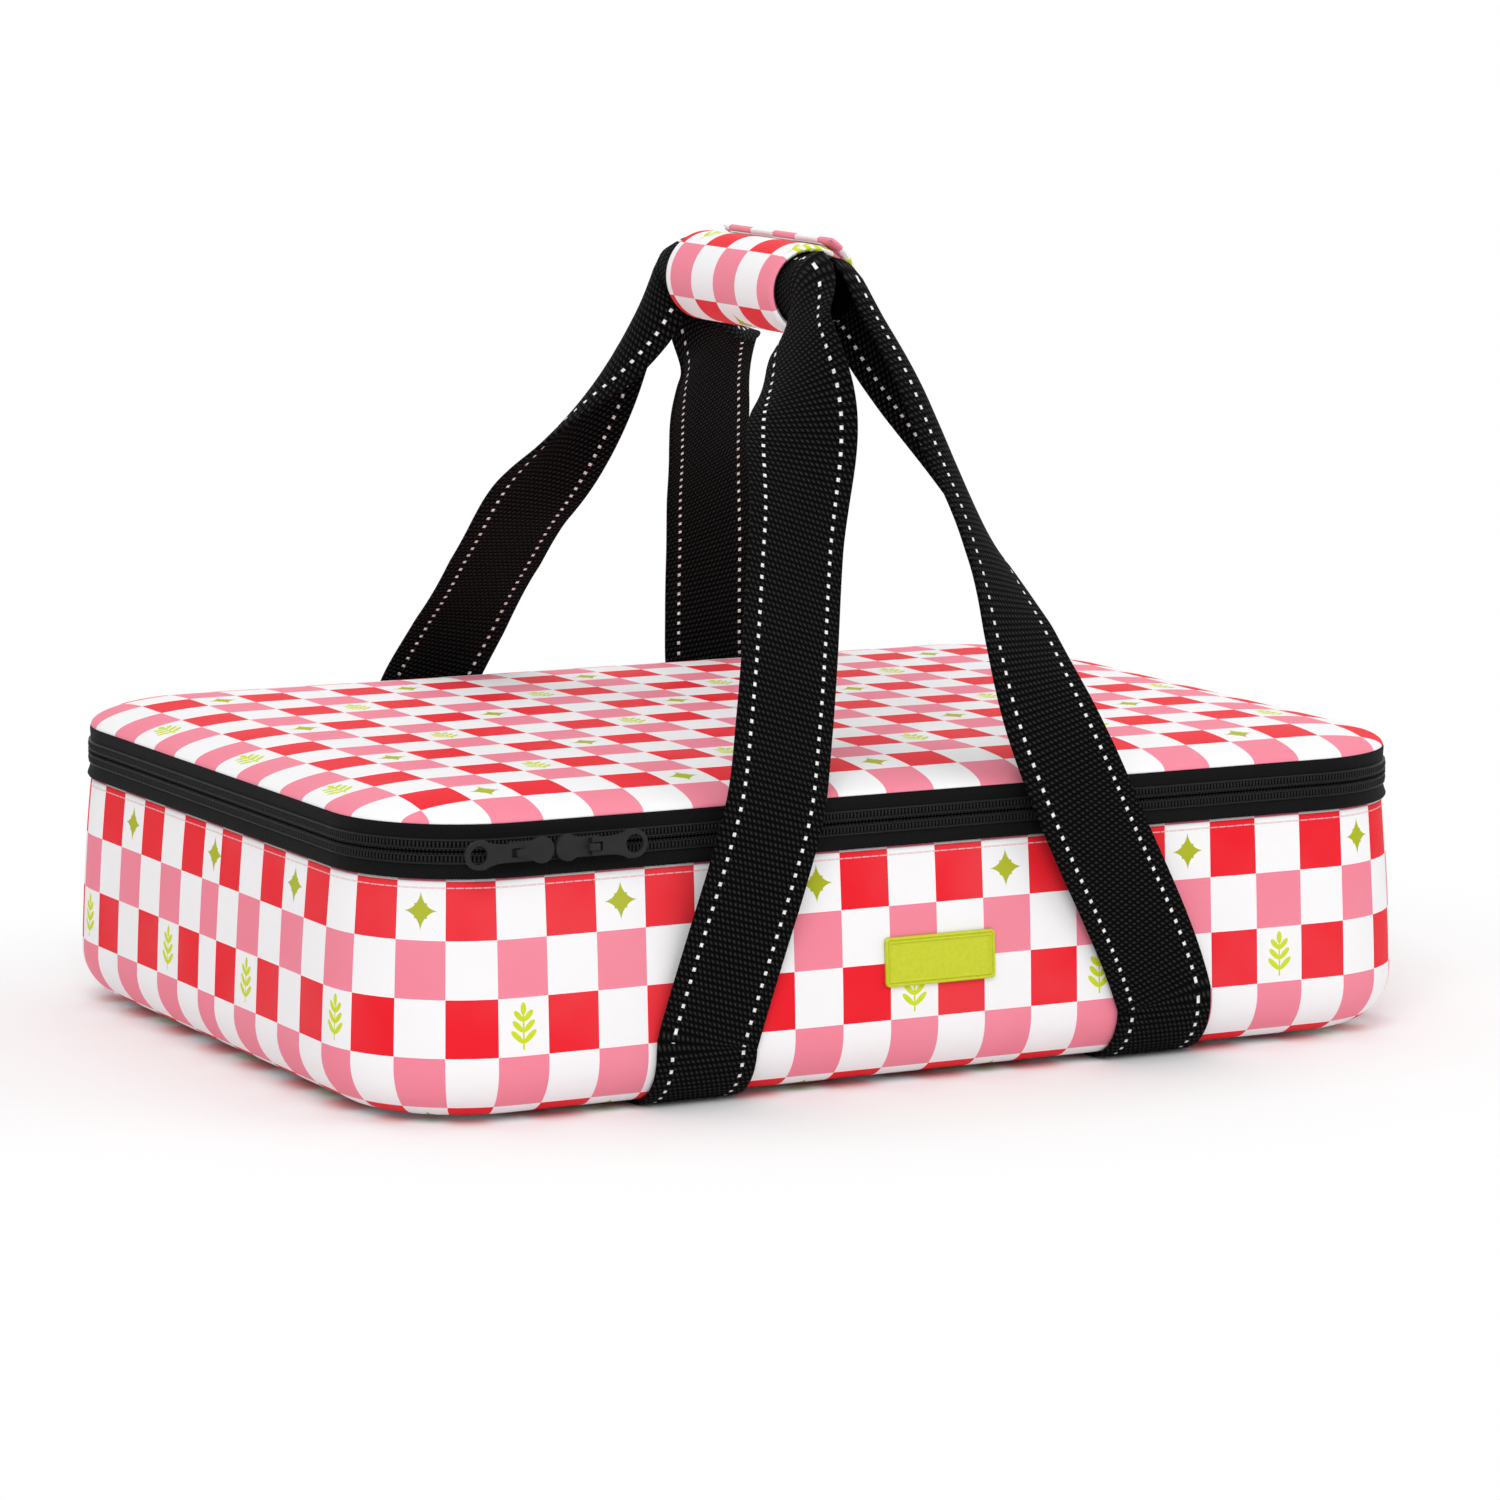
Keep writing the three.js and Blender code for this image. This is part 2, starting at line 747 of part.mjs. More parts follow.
place(
  "grip_hook_tape",
  gripSlab(
    (angle) => flapInnerAt(angle) - seat - fastenerThickness,
    (angle) => flapInnerAt(angle) - seat,
    ...hookTapeAngles,
    fastenerLength,
  ),
  finish(white, 0.8),
);

// Two sliders, head to head on the front, with their pulls pointing away from each other
for (const [sideName, towards] of [["left", -1], ["right", 1]]) {
  const seatGroup = new THREE.Group();
  seatGroup.position.set(
    slidersMeet + towards * (sliderHeadRadius + sliderGap / 2),
    -caseDepth / 2,
    zipCentre,
  );
  seatGroup.scale.x = -towards;
  carrier.add(seatGroup);
  place("slider_" + sideName, sliderGeometry(), finish(coilGrey, 0.45), seatGroup);
  place("pull_" + sideName, pullGeometry(), finish(coilGrey, 0.45), seatGroup);
}

export default carrier;
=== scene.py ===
import bpy
import numpy as np
from math import radians, pi
from mathutils import Matrix, Vector


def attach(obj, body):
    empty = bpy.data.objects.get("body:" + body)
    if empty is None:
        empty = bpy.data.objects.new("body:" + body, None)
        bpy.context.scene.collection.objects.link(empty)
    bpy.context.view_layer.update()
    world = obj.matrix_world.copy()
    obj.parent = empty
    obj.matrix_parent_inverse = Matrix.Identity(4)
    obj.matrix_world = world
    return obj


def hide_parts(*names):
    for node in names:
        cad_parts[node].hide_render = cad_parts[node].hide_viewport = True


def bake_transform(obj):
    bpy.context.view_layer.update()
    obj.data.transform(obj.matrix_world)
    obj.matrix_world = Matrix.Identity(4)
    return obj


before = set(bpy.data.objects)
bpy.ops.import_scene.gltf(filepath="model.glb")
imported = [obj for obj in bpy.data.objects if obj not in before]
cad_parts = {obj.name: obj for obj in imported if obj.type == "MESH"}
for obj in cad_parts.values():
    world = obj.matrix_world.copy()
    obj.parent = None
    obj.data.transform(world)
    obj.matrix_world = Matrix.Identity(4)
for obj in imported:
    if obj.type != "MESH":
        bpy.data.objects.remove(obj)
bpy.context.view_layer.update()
mm = 0.001


# Colours as they look on screen, turned into the linear values that shaders take
def tone(red, green, blue):
    shade = np.array([red, green, blue]) / 255
    linear = np.where(shade <= 0.04045, shade / 12.92, ((shade + 0.055) / 1.055) ** 2.4)
    return (*linear.tolist(), 1.0)


# Camera
view = {
    "place": (-1.00386, -1.89957, 0.41672),
    "turn": 28.03,  # degrees from +Y towards +X
    "tilt": 8.51,  # degrees down
    "roll": 0.285,
    "lens": 143.85,
}


# Looks along the turn and the tilt, with the upright as right times ahead, then rolled about that line
def makeCamera(v):
    turn, tilt = radians(v["turn"]), radians(v["tilt"])
    ahead = Vector((np.sin(turn) * np.cos(tilt), np.cos(turn) * np.cos(tilt), -np.sin(tilt)))
    right = Vector((np.cos(turn), -np.sin(turn), 0))
    up = right.cross(ahead)
    camera = bpy.data.objects.new("camera", bpy.data.cameras.new("camera"))
    camera.data.lens = v["lens"]
    camera.data.sensor_width = 36
    camera.data.clip_start, camera.data.clip_end = 0.05, 20
    axes = Matrix((right, up, -ahead)).transposed().to_4x4()
    camera.matrix_world = Matrix.Translation(v["place"]) @ axes @ Matrix.Rotation(radians(v["roll"]), 4, "Z")
    bpy.context.scene.collection.objects.link(camera)
    bpy.context.scene.camera = camera


makeCamera(view)
print("camera placed")


# Short names for the nodes that the patterns are worked out with
class Graph:
    def __init__(self, tree):
        self.tree = tree

    def add(self, kind, **settings):
        node = self.tree.nodes.new(kind)
        for key, value in settings.items():
            setattr(node, key, value)
        return node

    def put(self, socket, value):
        if isinstance(value, bpy.types.NodeSocket):
            self.tree.links.new(value, socket)
        else:
            socket.default_value = value

    def math(self, operation, a, b=0.0, c=0.0):
        node = self.add("ShaderNodeMath", operation=operation)
        for socket, value in zip(node.inputs, (a, b, c)):
            self.put(socket, value)
        return node.outputs[0]

    def ramp(self, value, low, high):
        node = self.add("ShaderNodeMapRange", interpolation_type="SMOOTHSTEP")
        self.put(node.inputs["Value"], value)
        self.put(node.inputs["From Min"], low)
        self.put(node.inputs["From Max"], high)
        return node.outputs[0]

    def mix(self, share, a, b):
        node = self.add("ShaderNodeMix", data_type="RGBA")
        self.put(node.inputs["Factor"], share)
        self.put(node.inputs["A"], a)
        self.put(node.inputs["B"], b)
        return node.outputs["Result"]

    def apart(self, vector):
        node = self.add("ShaderNodeSeparateXYZ")
        self.put(node.inputs[0], vector)
        return node.outputs

    def noise(self, vector, scale, detail=3.0, rough=0.5):
        node = self.add("ShaderNodeTexNoise")
        self.put(node.inputs["Vector"], vector)
        self.put(node.inputs["Scale"], scale)
        self.put(node.inputs["Detail"], detail)
        self.put(node.inputs["Roughness"], rough)
        return node.outputs["Fac"]

    def use(self, group, **values):
        node = self.add("ShaderNodeGroup", node_tree=group)
        for key, value in values.items():
            self.put(node.inputs[key], value)
        return node.outputs


# A node group of coordinates and named values, which build turns into its outputs, all of one kind
def makeGroup(name, build, kind, values, outputs):
    tree = bpy.data.node_groups.new(name, "ShaderNodeTree")
    tree.interface.new_socket("Coordinates", in_out="INPUT", socket_type="NodeSocketVector")
    for title, value in values.items():
        tree.interface.new_socket(title, in_out="INPUT", socket_type=kind).default_value = value
    for title in outputs:
        tree.interface.new_socket(title, in_out="OUTPUT", socket_type=kind)
    source, target = tree.nodes.new("NodeGroupInput"), tree.nodes.new("NodeGroupOutput")
    for title, value in build(Graph(tree), source.outputs).items():
        tree.links.new(value, target.inputs[title])
    return tree


# Coated cloth: two crossed sets of fine threads, half the product of two waves plus a half
def buildCloth(g, source):
    x, y, _ = g.apart(source["Coordinates"])
    warp, weft = (
        g.math("SINE", g.math("DIVIDE", g.math("MULTIPLY", axis, 2 * pi), source["Thread"]))
        for axis in (x, y)
    )
    return {"Height": g.math("MULTIPLY_ADD", g.math("MULTIPLY", warp, weft), 0.5, 0.5)}


# Webbing: rows across the band, each a string of slanted bumps, every other row moved by half a bump.
# A bump is a half wave across the row times a power of a half wave along it
def buildWebbing(g, source):
    x, y, _ = g.apart(source["Coordinates"])
    row = g.math("DIVIDE", y, source["Row"])
    inRow = g.math("SUBTRACT", g.math("FRACT", row), 0.5)
    shift = g.math("MULTIPLY", g.math("FLOORED_MODULO", g.math("FLOOR", row), 2.0), 0.5)
    along = g.math("ADD", g.math("DIVIDE", x, source["Bump"]), shift)
    along = g.math("MULTIPLY_ADD", inRow, 0.6, along)
    ridge = g.math("COSINE", g.math("MULTIPLY", inRow, pi))
    knot = g.math("ABSOLUTE", g.math("SINE", g.math("MULTIPLY", along, pi)))
    raised = g.math("MULTIPLY", ridge, g.math("POWER", knot, 0.8))
    # Knot, a sharper power of the height, is the mask of the painted highlight on the knots' tops
    return {"Height": raised, "Knot": g.math("POWER", raised, 3.0)}


# Herringbone tape: diagonal ribs, half waves whose lean flips from one narrow column to the next
def buildHerringbone(g, source):
    x, y, _ = g.apart(source["Coordinates"])
    fold = g.math("PINGPONG", y, source["Column"])
    rib = g.math("FRACT", g.math("DIVIDE", g.math("ADD", x, fold), source["Rib"]))
    return {"Height": g.math("SINE", g.math("MULTIPLY", rib, pi))}


# Stitches: dashes of a given length and pitch on two lines at a given distance from the middle, each
# with its share falling to nothing over a soft edge
def buildStitches(g, source):
    x, y, _ = g.apart(source["Coordinates"])
    fromMiddle = g.math("ABSOLUTE", g.math("SUBTRACT", x, source["Middle"]))
    off = g.math("ABSOLUTE", g.math("SUBTRACT", fromMiddle, source["Offset"]))
    inner, outer = (g.math("MULTIPLY", source["Width"], share) for share in (0.4, 0.6))
    inLine = g.math("SUBTRACT", 1.0, g.ramp(off, inner, outer))
    fromDash = g.math("SUBTRACT", g.math("FRACT", g.math("DIVIDE", y, source["Pitch"])), 0.5)
    step = g.math("MULTIPLY", g.math("ABSOLUTE", fromDash), source["Pitch"])
    half = g.math("MULTIPLY", source["Dash"], 0.5)
    inDash = g.math("SUBTRACT", 1.0, g.ramp(step, g.math("SUBTRACT", half, 0.15), g.math("ADD", half, 0.1)))
    return {"Thread": g.math("MULTIPLY", inLine, inDash), "Line": inLine}


# Sprig: a stem, leaves whose half width is the root of an arch in the distance from the stem, and a
# tip, an ellipse
def buildSprig(g, x, y):
    away = g.math("ABSOLUTE", x)
    share = g.math("DIVIDE", away, g.math("MULTIPLY_ADD", y, -0.18, 0.24))
    arch = g.math("MULTIPLY", g.math("MULTIPLY", share, g.math("SUBTRACT", 1.0, share)), 4.0)
    lift = g.math("MULTIPLY_ADD", away, -0.75, y)
    level = g.math("SUBTRACT", g.math("FLOORED_MODULO", g.math("ADD", lift, 0.36), 0.19), 0.095)
    width = g.math("MULTIPLY", g.math("SQRT", g.math("MAXIMUM", arch, 0.0)), 0.066)
    leaf = g.math("LESS_THAN", g.math("ABSOLUTE", level), width)
    leaf = g.math("MULTIPLY", leaf, g.math("GREATER_THAN", lift, -0.36))
    leaf = g.math("MULTIPLY", leaf, g.math("LESS_THAN", lift, 0.2))
    across = g.math("POWER", g.math("DIVIDE", x, 0.055), 2.0)
    tall = g.math("POWER", g.math("DIVIDE", g.math("SUBTRACT", y, 0.31), 0.11), 2.0)
    tip = g.math("LESS_THAN", g.math("ADD", across, tall), 1.0)
    inHeight = g.math("LESS_THAN", g.math("ABSOLUTE", g.math("ADD", y, 0.06)), 0.33)
    stem = g.math("MULTIPLY", g.math("LESS_THAN", away, 0.018), inHeight)
    return g.math("MAXIMUM", g.math("MAXIMUM", leaf, stem), tip)


# Star: four points, a sum of powers of both distances under a limit, and a small square in the middle
def buildStar(g, x, y):
    powers = (g.math("POWER", g.math("ABSOLUTE", each), 0.6) for each in (x, y))
    points = g.math("LESS_THAN", g.math("ADD", *powers), 0.53)
    sides = (g.math("ABSOLUTE", g.math(way, x, y)) for way in ("ADD", "SUBTRACT"))
    return g.math("MAXIMUM", points, g.math("LESS_THAN", g.math("ADD", *sides), 0.26))


# The print: checks of one unit, red or pink with white, with a leaf sprig or a star in one check of
# each four by four
def buildPrint(g, source):
    u, v, _ = g.apart(source["Coordinates"])
    column, row = g.math("FLOOR", u), g.math("FLOOR", v)
    oddColumn, oddRow = (g.math("FLOORED_MODULO", each, 2.0) for each in (column, row))
    evenColumn, evenRow = (g.math("SUBTRACT", 1.0, each) for each in (oddColumn, oddRow))
    colour = g.mix(g.math("MULTIPLY", oddRow, evenColumn), source["White"], source["Red"])
    colour = g.mix(g.math("MULTIPLY", evenRow, oddColumn), colour, source["Pink"])
    x = g.math("SUBTRACT", g.math("FRACT", u), 0.5)
    y = g.math("SUBTRACT", 0.5, g.math("FRACT", v))
    for motif, place, thread in ((buildSprig, 1.0, "Lime"), (buildStar, 3.0, "Green")):
        inColumn, inRow = (
            g.math("COMPARE", g.math("FLOORED_MODULO", each, 4.0), place, 0.1) for each in (column, row)
        )
        share = g.math("MULTIPLY", motif(g, x, y), g.math("MULTIPLY", inColumn, inRow))
        colour = g.mix(share, colour, source[thread])
    return {"Color": colour}


number, colourKind = "NodeSocketFloat", "NodeSocketColor"
clothGroup = makeGroup("cloth threads", buildCloth, number, {"Thread": 0.45}, ["Height"])
webbingGroup = makeGroup("webbing rows", buildWebbing, number, {"Row": 2.05, "Bump": 1.85}, ["Height", "Knot"])
herringboneGroup = makeGroup("herringbone", buildHerringbone, number, {"Rib": 1.1, "Column": 4.0}, ["Height"])
stitchSizes = {"Middle": 0.0, "Offset": 13.4, "Width": 1.25, "Pitch": 4.3, "Dash": 1.45}
stitchGroup = makeGroup("stitch lines", buildStitches, number, stitchSizes, ["Thread", "Line"])
printColours = {
    "White": tone(250, 249, 250),
    "Red": tone(240, 34, 47),
    "Pink": tone(246, 138, 158),
    "Lime": tone(208, 224, 30),
    "Green": tone(178, 186, 34),
}
printGroup = makeGroup("checked print", buildPrint, colourKind, printColours, ["Color"])


# A new material's graph and shader
def newMaterial(name):
    material = bpy.data.materials.new(name)
    material.use_nodes = True
    g = Graph(material.node_tree)
    return material, g, next(n for n in g.tree.nodes if n.type == "BSDF_PRINCIPLED")


# A material: build gets the graph and the shader and returns the height that feeds the bump
def makeMaterial(name, build, bump, **plain):
    material, g, shader = newMaterial(name)
    for title, value in plain.items():
        shader.inputs[title.replace("_", " ")].default_value = value
    height = build(g, shader)
    node = g.add("ShaderNodeBump")
    node.inputs["Strength"].default_value = 1.0
    node.inputs["Distance"].default_value = bump * mm
    g.put(node.inputs["Height"], height)
    g.put(shader.inputs["Normal"], node.outputs[0])
    return material


# The piece's own cloth coordinates, times a scale
def uvOf(g, scale=1.0):
    node = g.add("ShaderNodeUVMap", uv_map="UVMap")
    scaled = g.add("ShaderNodeVectorMath", operation="SCALE")
    g.put(scaled.inputs[0], node.outputs[0])
    scaled.inputs["Scale"].default_value = scale
    return scaled.outputs[0]


# The place on the piece, in metres
def objectPlace(g):
    return g.add("ShaderNodeTexCoord").outputs["Object"]


checkSize = 18.48  # mm, one check of the print


# A builder of print with fine threads, a slow unevenness and a line of stitches along a hem, all in the
# cloth's own coordinates
def printedCloth(hemRow, hemPitch):
    def build(g, shader):
        place = uvOf(g)
        colour = g.use(printGroup, Coordinates=place)["Color"]
        threads = g.use(clothGroup, Coordinates=uvOf(g, checkSize))["Height"]
        u, v, _ = g.apart(place)
        hem = g.add("ShaderNodeCombineXYZ")
        g.put(hem.inputs[0], g.math("MULTIPLY", g.math("SUBTRACT", v, hemRow), checkSize))
        g.put(hem.inputs[1], g.math("MULTIPLY", u, checkSize))
        dashes = {"Offset": 0.0, "Width": 0.42, "Pitch": hemPitch, "Dash": hemPitch * 0.9}
        stitch = g.use(stitchGroup, Coordinates=hem.outputs[0], **dashes)
        slow = g.noise(objectPlace(g), 22.0, 2.0)
        worn = g.mix(g.math("MULTIPLY", g.ramp(slow, 0.35, 0.75), 0.05), colour, tone(214, 214, 220))
        sewn = g.mix(g.math("MULTIPLY", stitch["Thread"], 0.75), worn, tone(250, 196, 202))
        g.put(shader.inputs["Base Color"], sewn)
        g.put(shader.inputs["Roughness"], g.math("MULTIPLY_ADD", slow, 0.16, 0.44))
        dip = g.math("MULTIPLY", stitch["Line"], -0.9)
        return g.math("ADD", g.math("MULTIPLY_ADD", slow, 2.5, dip), g.math("MULTIPLY", threads, 0.35))

    return build


# Webbing: painted highlights, grey where its knots stand highest, with two rows of white stitches that stand in
# a groove
def blackWebbing(g, shader):
    place = uvOf(g)
    weave = g.use(webbingGroup, Coordinates=place)
    stitch = g.use(stitchGroup, Coordinates=place)
    highlightNoise = g.noise(objectPlace(g), 900.0, 4.0)
    # painted highlight: the knots' tops are coloured grey, broken up by a fine noise
    knotHighlight = g.math("MULTIPLY", weave["Knot"], g.math("MULTIPLY_ADD", highlightNoise, 1.0, 0.45))
    black = g.mix(knotHighlight, tone(2, 2, 2), tone(48, 48, 48))
    g.put(shader.inputs["Base Color"], g.mix(stitch["Thread"], black, tone(252, 252, 250)))
    g.put(shader.inputs["Roughness"], g.math("MULTIPLY_ADD", weave["Height"], -0.15, 0.8))
    sunk = g.math("MULTIPLY", stitch["Line"], g.math("SUBTRACT", 1.0, stitch["Thread"]))
    raised = g.math("MULTIPLY_ADD", stitch["Thread"], 0.6, weave["Height"])
    return g.math("SUBTRACT", raised, g.math("MULTIPLY", sunk, 0.5))


# Tape: ribs that are smoother where they stand high, and lighter there by a painted highlight
def tapeCloth(g, shader):
    ribs = g.use(herringboneGroup, Coordinates=uvOf(g))["Height"]
    # painted highlight: the raised ribs are coloured lighter than their hollows
    g.put(shader.inputs["Base Color"], g.mix(ribs, tone(5, 5, 5), tone(26, 26, 26)))
    g.put(shader.inputs["Roughness"], g.math("MULTIPLY_ADD", ribs, -0.12, 0.7))
    return ribs


# Silvered sheet: broad creases in the bump, also painted into the colour as shade in their hollows and
# reflection on their crests, and fine ones in the roughness
def silverLining(g, shader):
    place = objectPlace(g)
    creased = g.noise(place, 34.0, 5.0, 0.62)
    fine = g.noise(place, 240.0, 3.0)
    # painted shade and reflection: the colour follows the creases' height, darker in their hollows
    g.put(shader.inputs["Base Color"], g.mix(creased, tone(176, 178, 182), tone(216, 218, 222)))
    g.put(shader.inputs["Roughness"], g.math("MULTIPLY_ADD", fine, 0.2, 0.24))
    return g.math("MULTIPLY_ADD", fine, 0.15, creased)


# A builder of plain stuff: one noise gives the height, the share of the lighter colour, which may be steepened
# between two ends, and the roughness, as rougher times the noise plus a base
def grained(noise, dark, light, rougher, base, ends=None):
    def build(g, shader):
        grain = g.noise(objectPlace(g), *noise)
        share = g.ramp(grain, *ends) if ends else grain
        g.put(shader.inputs["Base Color"], g.mix(share, tone(*dark), tone(*light)))
        g.put(shader.inputs["Roughness"], g.math("MULTIPLY_ADD", grain, rougher, base))
        return grain

    return build


noHem = 400.0  # a row of checks that no piece reaches
coilStuff = grained((260.0, 3.0), (30, 30, 30), (38, 38, 38), 0.2, 0.36)
sliderStuff = grained((420.0, 4.0), (34, 34, 34), (44, 44, 44), 0.25, 0.3)
patchStuff = grained((700.0, 4.0), (193, 201, 18), (200, 208, 22), 0.18, 0.34, ends=(0.3, 0.7))
foamStuff = grained((1400.0, 3.0), (214, 214, 210), (238, 238, 234), 0.1, 0.82)
pileStuff = grained((1900.0, 5.0, 0.7), (206, 206, 206), (244, 244, 244), 0.1, 0.85)
finishes = {
    "wall": makeMaterial("printed cloth with top hem", printedCloth(-0.89, 3.4), 0.16, Specular_IOR_Level=0.06),
    "lid": makeMaterial("printed cloth of the lid", printedCloth(noHem, 3.2), 0.16, Specular_IOR_Level=0.06),
    "wrap": makeMaterial("printed cloth of the wrap", printedCloth(noHem, 3.2), 0.14, Specular_IOR_Level=0.08),
    "webbing": makeMaterial("black webbing with white stitches", blackWebbing, 0.55, Specular_IOR_Level=0.04),
    "tape": makeMaterial("black herringbone tape", tapeCloth, 0.22, Specular_IOR_Level=0.05),
    "coil": makeMaterial("black moulded coil", coilStuff, 0.04, Specular_IOR_Level=0.1),
    "slider": makeMaterial("satin black metal", sliderStuff, 0.03, Specular_IOR_Level=0.12),
    "patch": makeMaterial("lime rubber", patchStuff, 0.02),
    "lining": makeMaterial("silvered lining", silverLining, 0.9, Metallic=0.55),
    "foam": makeMaterial("closed cell foam", foamStuff, 0.1),
    "fastener": makeMaterial("hook and loop", pileStuff, 0.4),
}
print("materials made")


# A mesh from points (n, 3) in mm, faces (m, 4) of point numbers and corners (m, 4, 2) of cloth coordinates
def makePiece(name, points, faces, corners, finish, smooth=True):
    mesh = bpy.data.meshes.new(name)
    mesh.vertices.add(len(points))
    mesh.vertices.foreach_set("co", (np.asarray(points) * mm).astype(np.float32).ravel())
    mesh.loops.add(faces.size)
    mesh.loops.foreach_set("vertex_index", faces.astype(np.int32).ravel())
    mesh.polygons.add(len(faces))
    mesh.polygons.foreach_set("loop_start", np.arange(0, faces.size, faces.shape[1], dtype=np.int32))
    if corners is not None:
        layer = mesh.uv_layers.new(name="UVMap")
        layer.data.foreach_set("uv", np.asarray(corners, np.float32).ravel())
    mesh.update(calc_edges=True)
    mesh.validate()
    mesh.polygons.foreach_set("use_smooth", np.full(len(mesh.polygons), smooth))
    piece = bpy.data.objects.new(name, mesh)
    bpy.context.scene.collection.objects.link(piece)
    mesh.materials.append(finishes[finish])
    return piece


# The body that a piece moves with and the nodes that it stands for
def settle(piece, body, nodes):
    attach(piece, body)
    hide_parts(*nodes)


# Faces of a grid of points (rows, columns), which goes on from its last row or column to its first where asked
def gridFaces(rows, columns, wrapRows=False, wrapColumns=False):
    r = np.arange(rows if wrapRows else rows - 1)
    c = np.arange(columns if wrapColumns else columns - 1)
    r, c = np.meshgrid(r, c, indexing="ij")
    r2, c2 = (r + 1) % rows, (c + 1) % columns
    faces = np.stack([r * columns + c, r * columns + c2, r2 * columns + c2, r2 * columns + c], -1)
    return faces.reshape(-1, 4)


# Cloth coordinates u and v at the points of a grid, turned into the four corners of each face
def cornerGrid(u, v):
    uv = np.stack([u, v], -1)
    return np.stack([uv[:-1, :-1], uv[:-1, 1:], uv[1:, 1:], uv[1:, :-1]], 2).reshape(-1, 4, 2)


# Two layers of a grid, the second below the first, joined by a skirt round the border
def plateFaces(rows, columns):
    border = np.concatenate([
        np.arange(columns),
        np.arange(1, rows) * columns + columns - 1,
        (rows - 1) * columns + np.arange(columns - 1)[::-1],
        np.arange(1, rows - 1)[::-1] * columns,
    ])
    nextOne, below = np.roll(border, -1), rows * columns
    faces = gridFaces(rows, columns)
    skirt = np.stack([nextOne, border, border + below, nextOne + below], -1)
    return np.concatenate([faces, faces[:, ::-1] + below, skirt])


# Both ends of a tube of an even number of rows, each closed by a strip of quads between its two halves
def closeEnds(faces, corners, rows, columns):
    ring = np.arange(rows) * columns
    for cap in (ring, ring[::-1] + columns - 1):
        k = np.arange(rows // 2 - 1)
        quads = np.stack([cap[k], cap[k + 1], cap[rows - 2 - k], cap[rows - 1 - k]], -1)
        faces = np.concatenate([faces, quads[:, ::-1]])
        if corners is not None:
            corners = np.concatenate([corners, np.zeros((len(quads), 4, 2))])
    return faces, corners


# All faces turned round together
def turnedRound(faces, corners):
    return faces[:, ::-1], None if corners is None else corners[:, ::-1]


# All faces turned round if, on the whole, they look at the centre
def facedOut(points, faces, corners, centre):
    p = points[faces]
    normal = np.cross(p[:, 2] - p[:, 0], p[:, 3] - p[:, 1])
    inward = np.sum(normal * (p.mean(1) - centre)) < 0
    return turnedRound(faces, corners) if inward else (faces, corners)


# The same for a closed body, by the sign of its volume
def turnedOut(points, faces, corners=None):
    p = points[faces]
    volume = np.sum(np.cross(p[:, 0], p[:, 1]) * p[:, 2]) + np.sum(np.cross(p[:, 0], p[:, 2]) * p[:, 3])
    return turnedRound(faces, corners) if volume < 0 else (faces, corners)


# The way from the first of a row of points to each
def wayTo(points):
    return np.concatenate([[0], np.cumsum(np.linalg.norm(np.diff(points, axis=0), axis=1))])


# A sheet is given its thickness by a modifier, inwards from its face
def thicken(piece, thickness):
    wall = piece.modifiers.new("wall", "SOLIDIFY")
    wall.thickness = thickness * mm
    wall.offset = -1.0
    wall.use_even_offset = True
    return piece


# A sheet of rings, looking away from a point on the middle line, given its thickness inwards
def makeSheet(name, grid, cornersOf, inside, finish, thickness, body, nodes):
    points = grid.reshape(-1, 3)
    faces = gridFaces(*grid.shape[:2], wrapColumns=True)
    faces, corners = facedOut(points, faces, cornersOf(points[faces][..., :2]), np.array([0, 0, inside]))
    settle(thicken(makePiece(name, points, faces, corners, finish), thickness), body, nodes)


# Slow waves over a place, the mean of five sines of random direction, length and start, from -1 to 1
def slowWaves(x, y, z, seed):
    spin = np.random.default_rng(seed)
    total = 0
    for _ in range(5):
        k = spin.normal(size=3) / spin.uniform(22, 60)
        total = total + np.sin(k[0] * x + k[1] * y + k[2] * z + spin.uniform(0, 2 * pi))
    return total / 5


# The case: a rounded rectangle, its sizes taken at the zip band, in mm
case = {
    "width": 408,
    "depth": 298,
    "corner": 46,
    "underside": 1.9,
    "bandLow": 83.5,
    "bandHigh": 101.7,
    "bodyRim": 92.35,
    "lidRim": 92.85,
    "flare": 3.5,
    "fillet": 18,
    "lidRise": 8.4,
    "crownInset": 44,
    "lidDome": 1.2,  # more rise from the crown's edge to the middle
    "lidLean": 0.8,  # higher at the back, lower in front
    "lidWave": 0.3,
    "bulge": 0.9,  # of the long walls between the corners
    "wave": 0.35,
    "bulgeEdge": 12,  # how far under the top of the lower round edge the bulge starts
    "clothCorner": 51.7,  # radius that the cloth is taken round the corners at
    "seamAhead": 9,  # of the middle of the left end
    "clothStart": 185.4,  # mm of cloth to the left of the middle of the front
    "backShift": 71.73,  # checks that the cloth at the back is moved by
    "rowAt": 63.1,  # height of a line between two rows of checks on the walls
    "rowHeight": 19.55,
    "baseShift": 40.5,  # checks
    "lidShift": (20.05, 20.8),  # checks to the middle of the lid
    "shell": 1.2,
    "strapAt": 90,
    "strapHalf": 19,
    "offStrap": 14,  # the walls' bulge grows to its full height over this far from the webbing
    "endsFrom": 150,
    "endsOver": 30,
}
wallFoot = case["underside"] + case["fillet"]


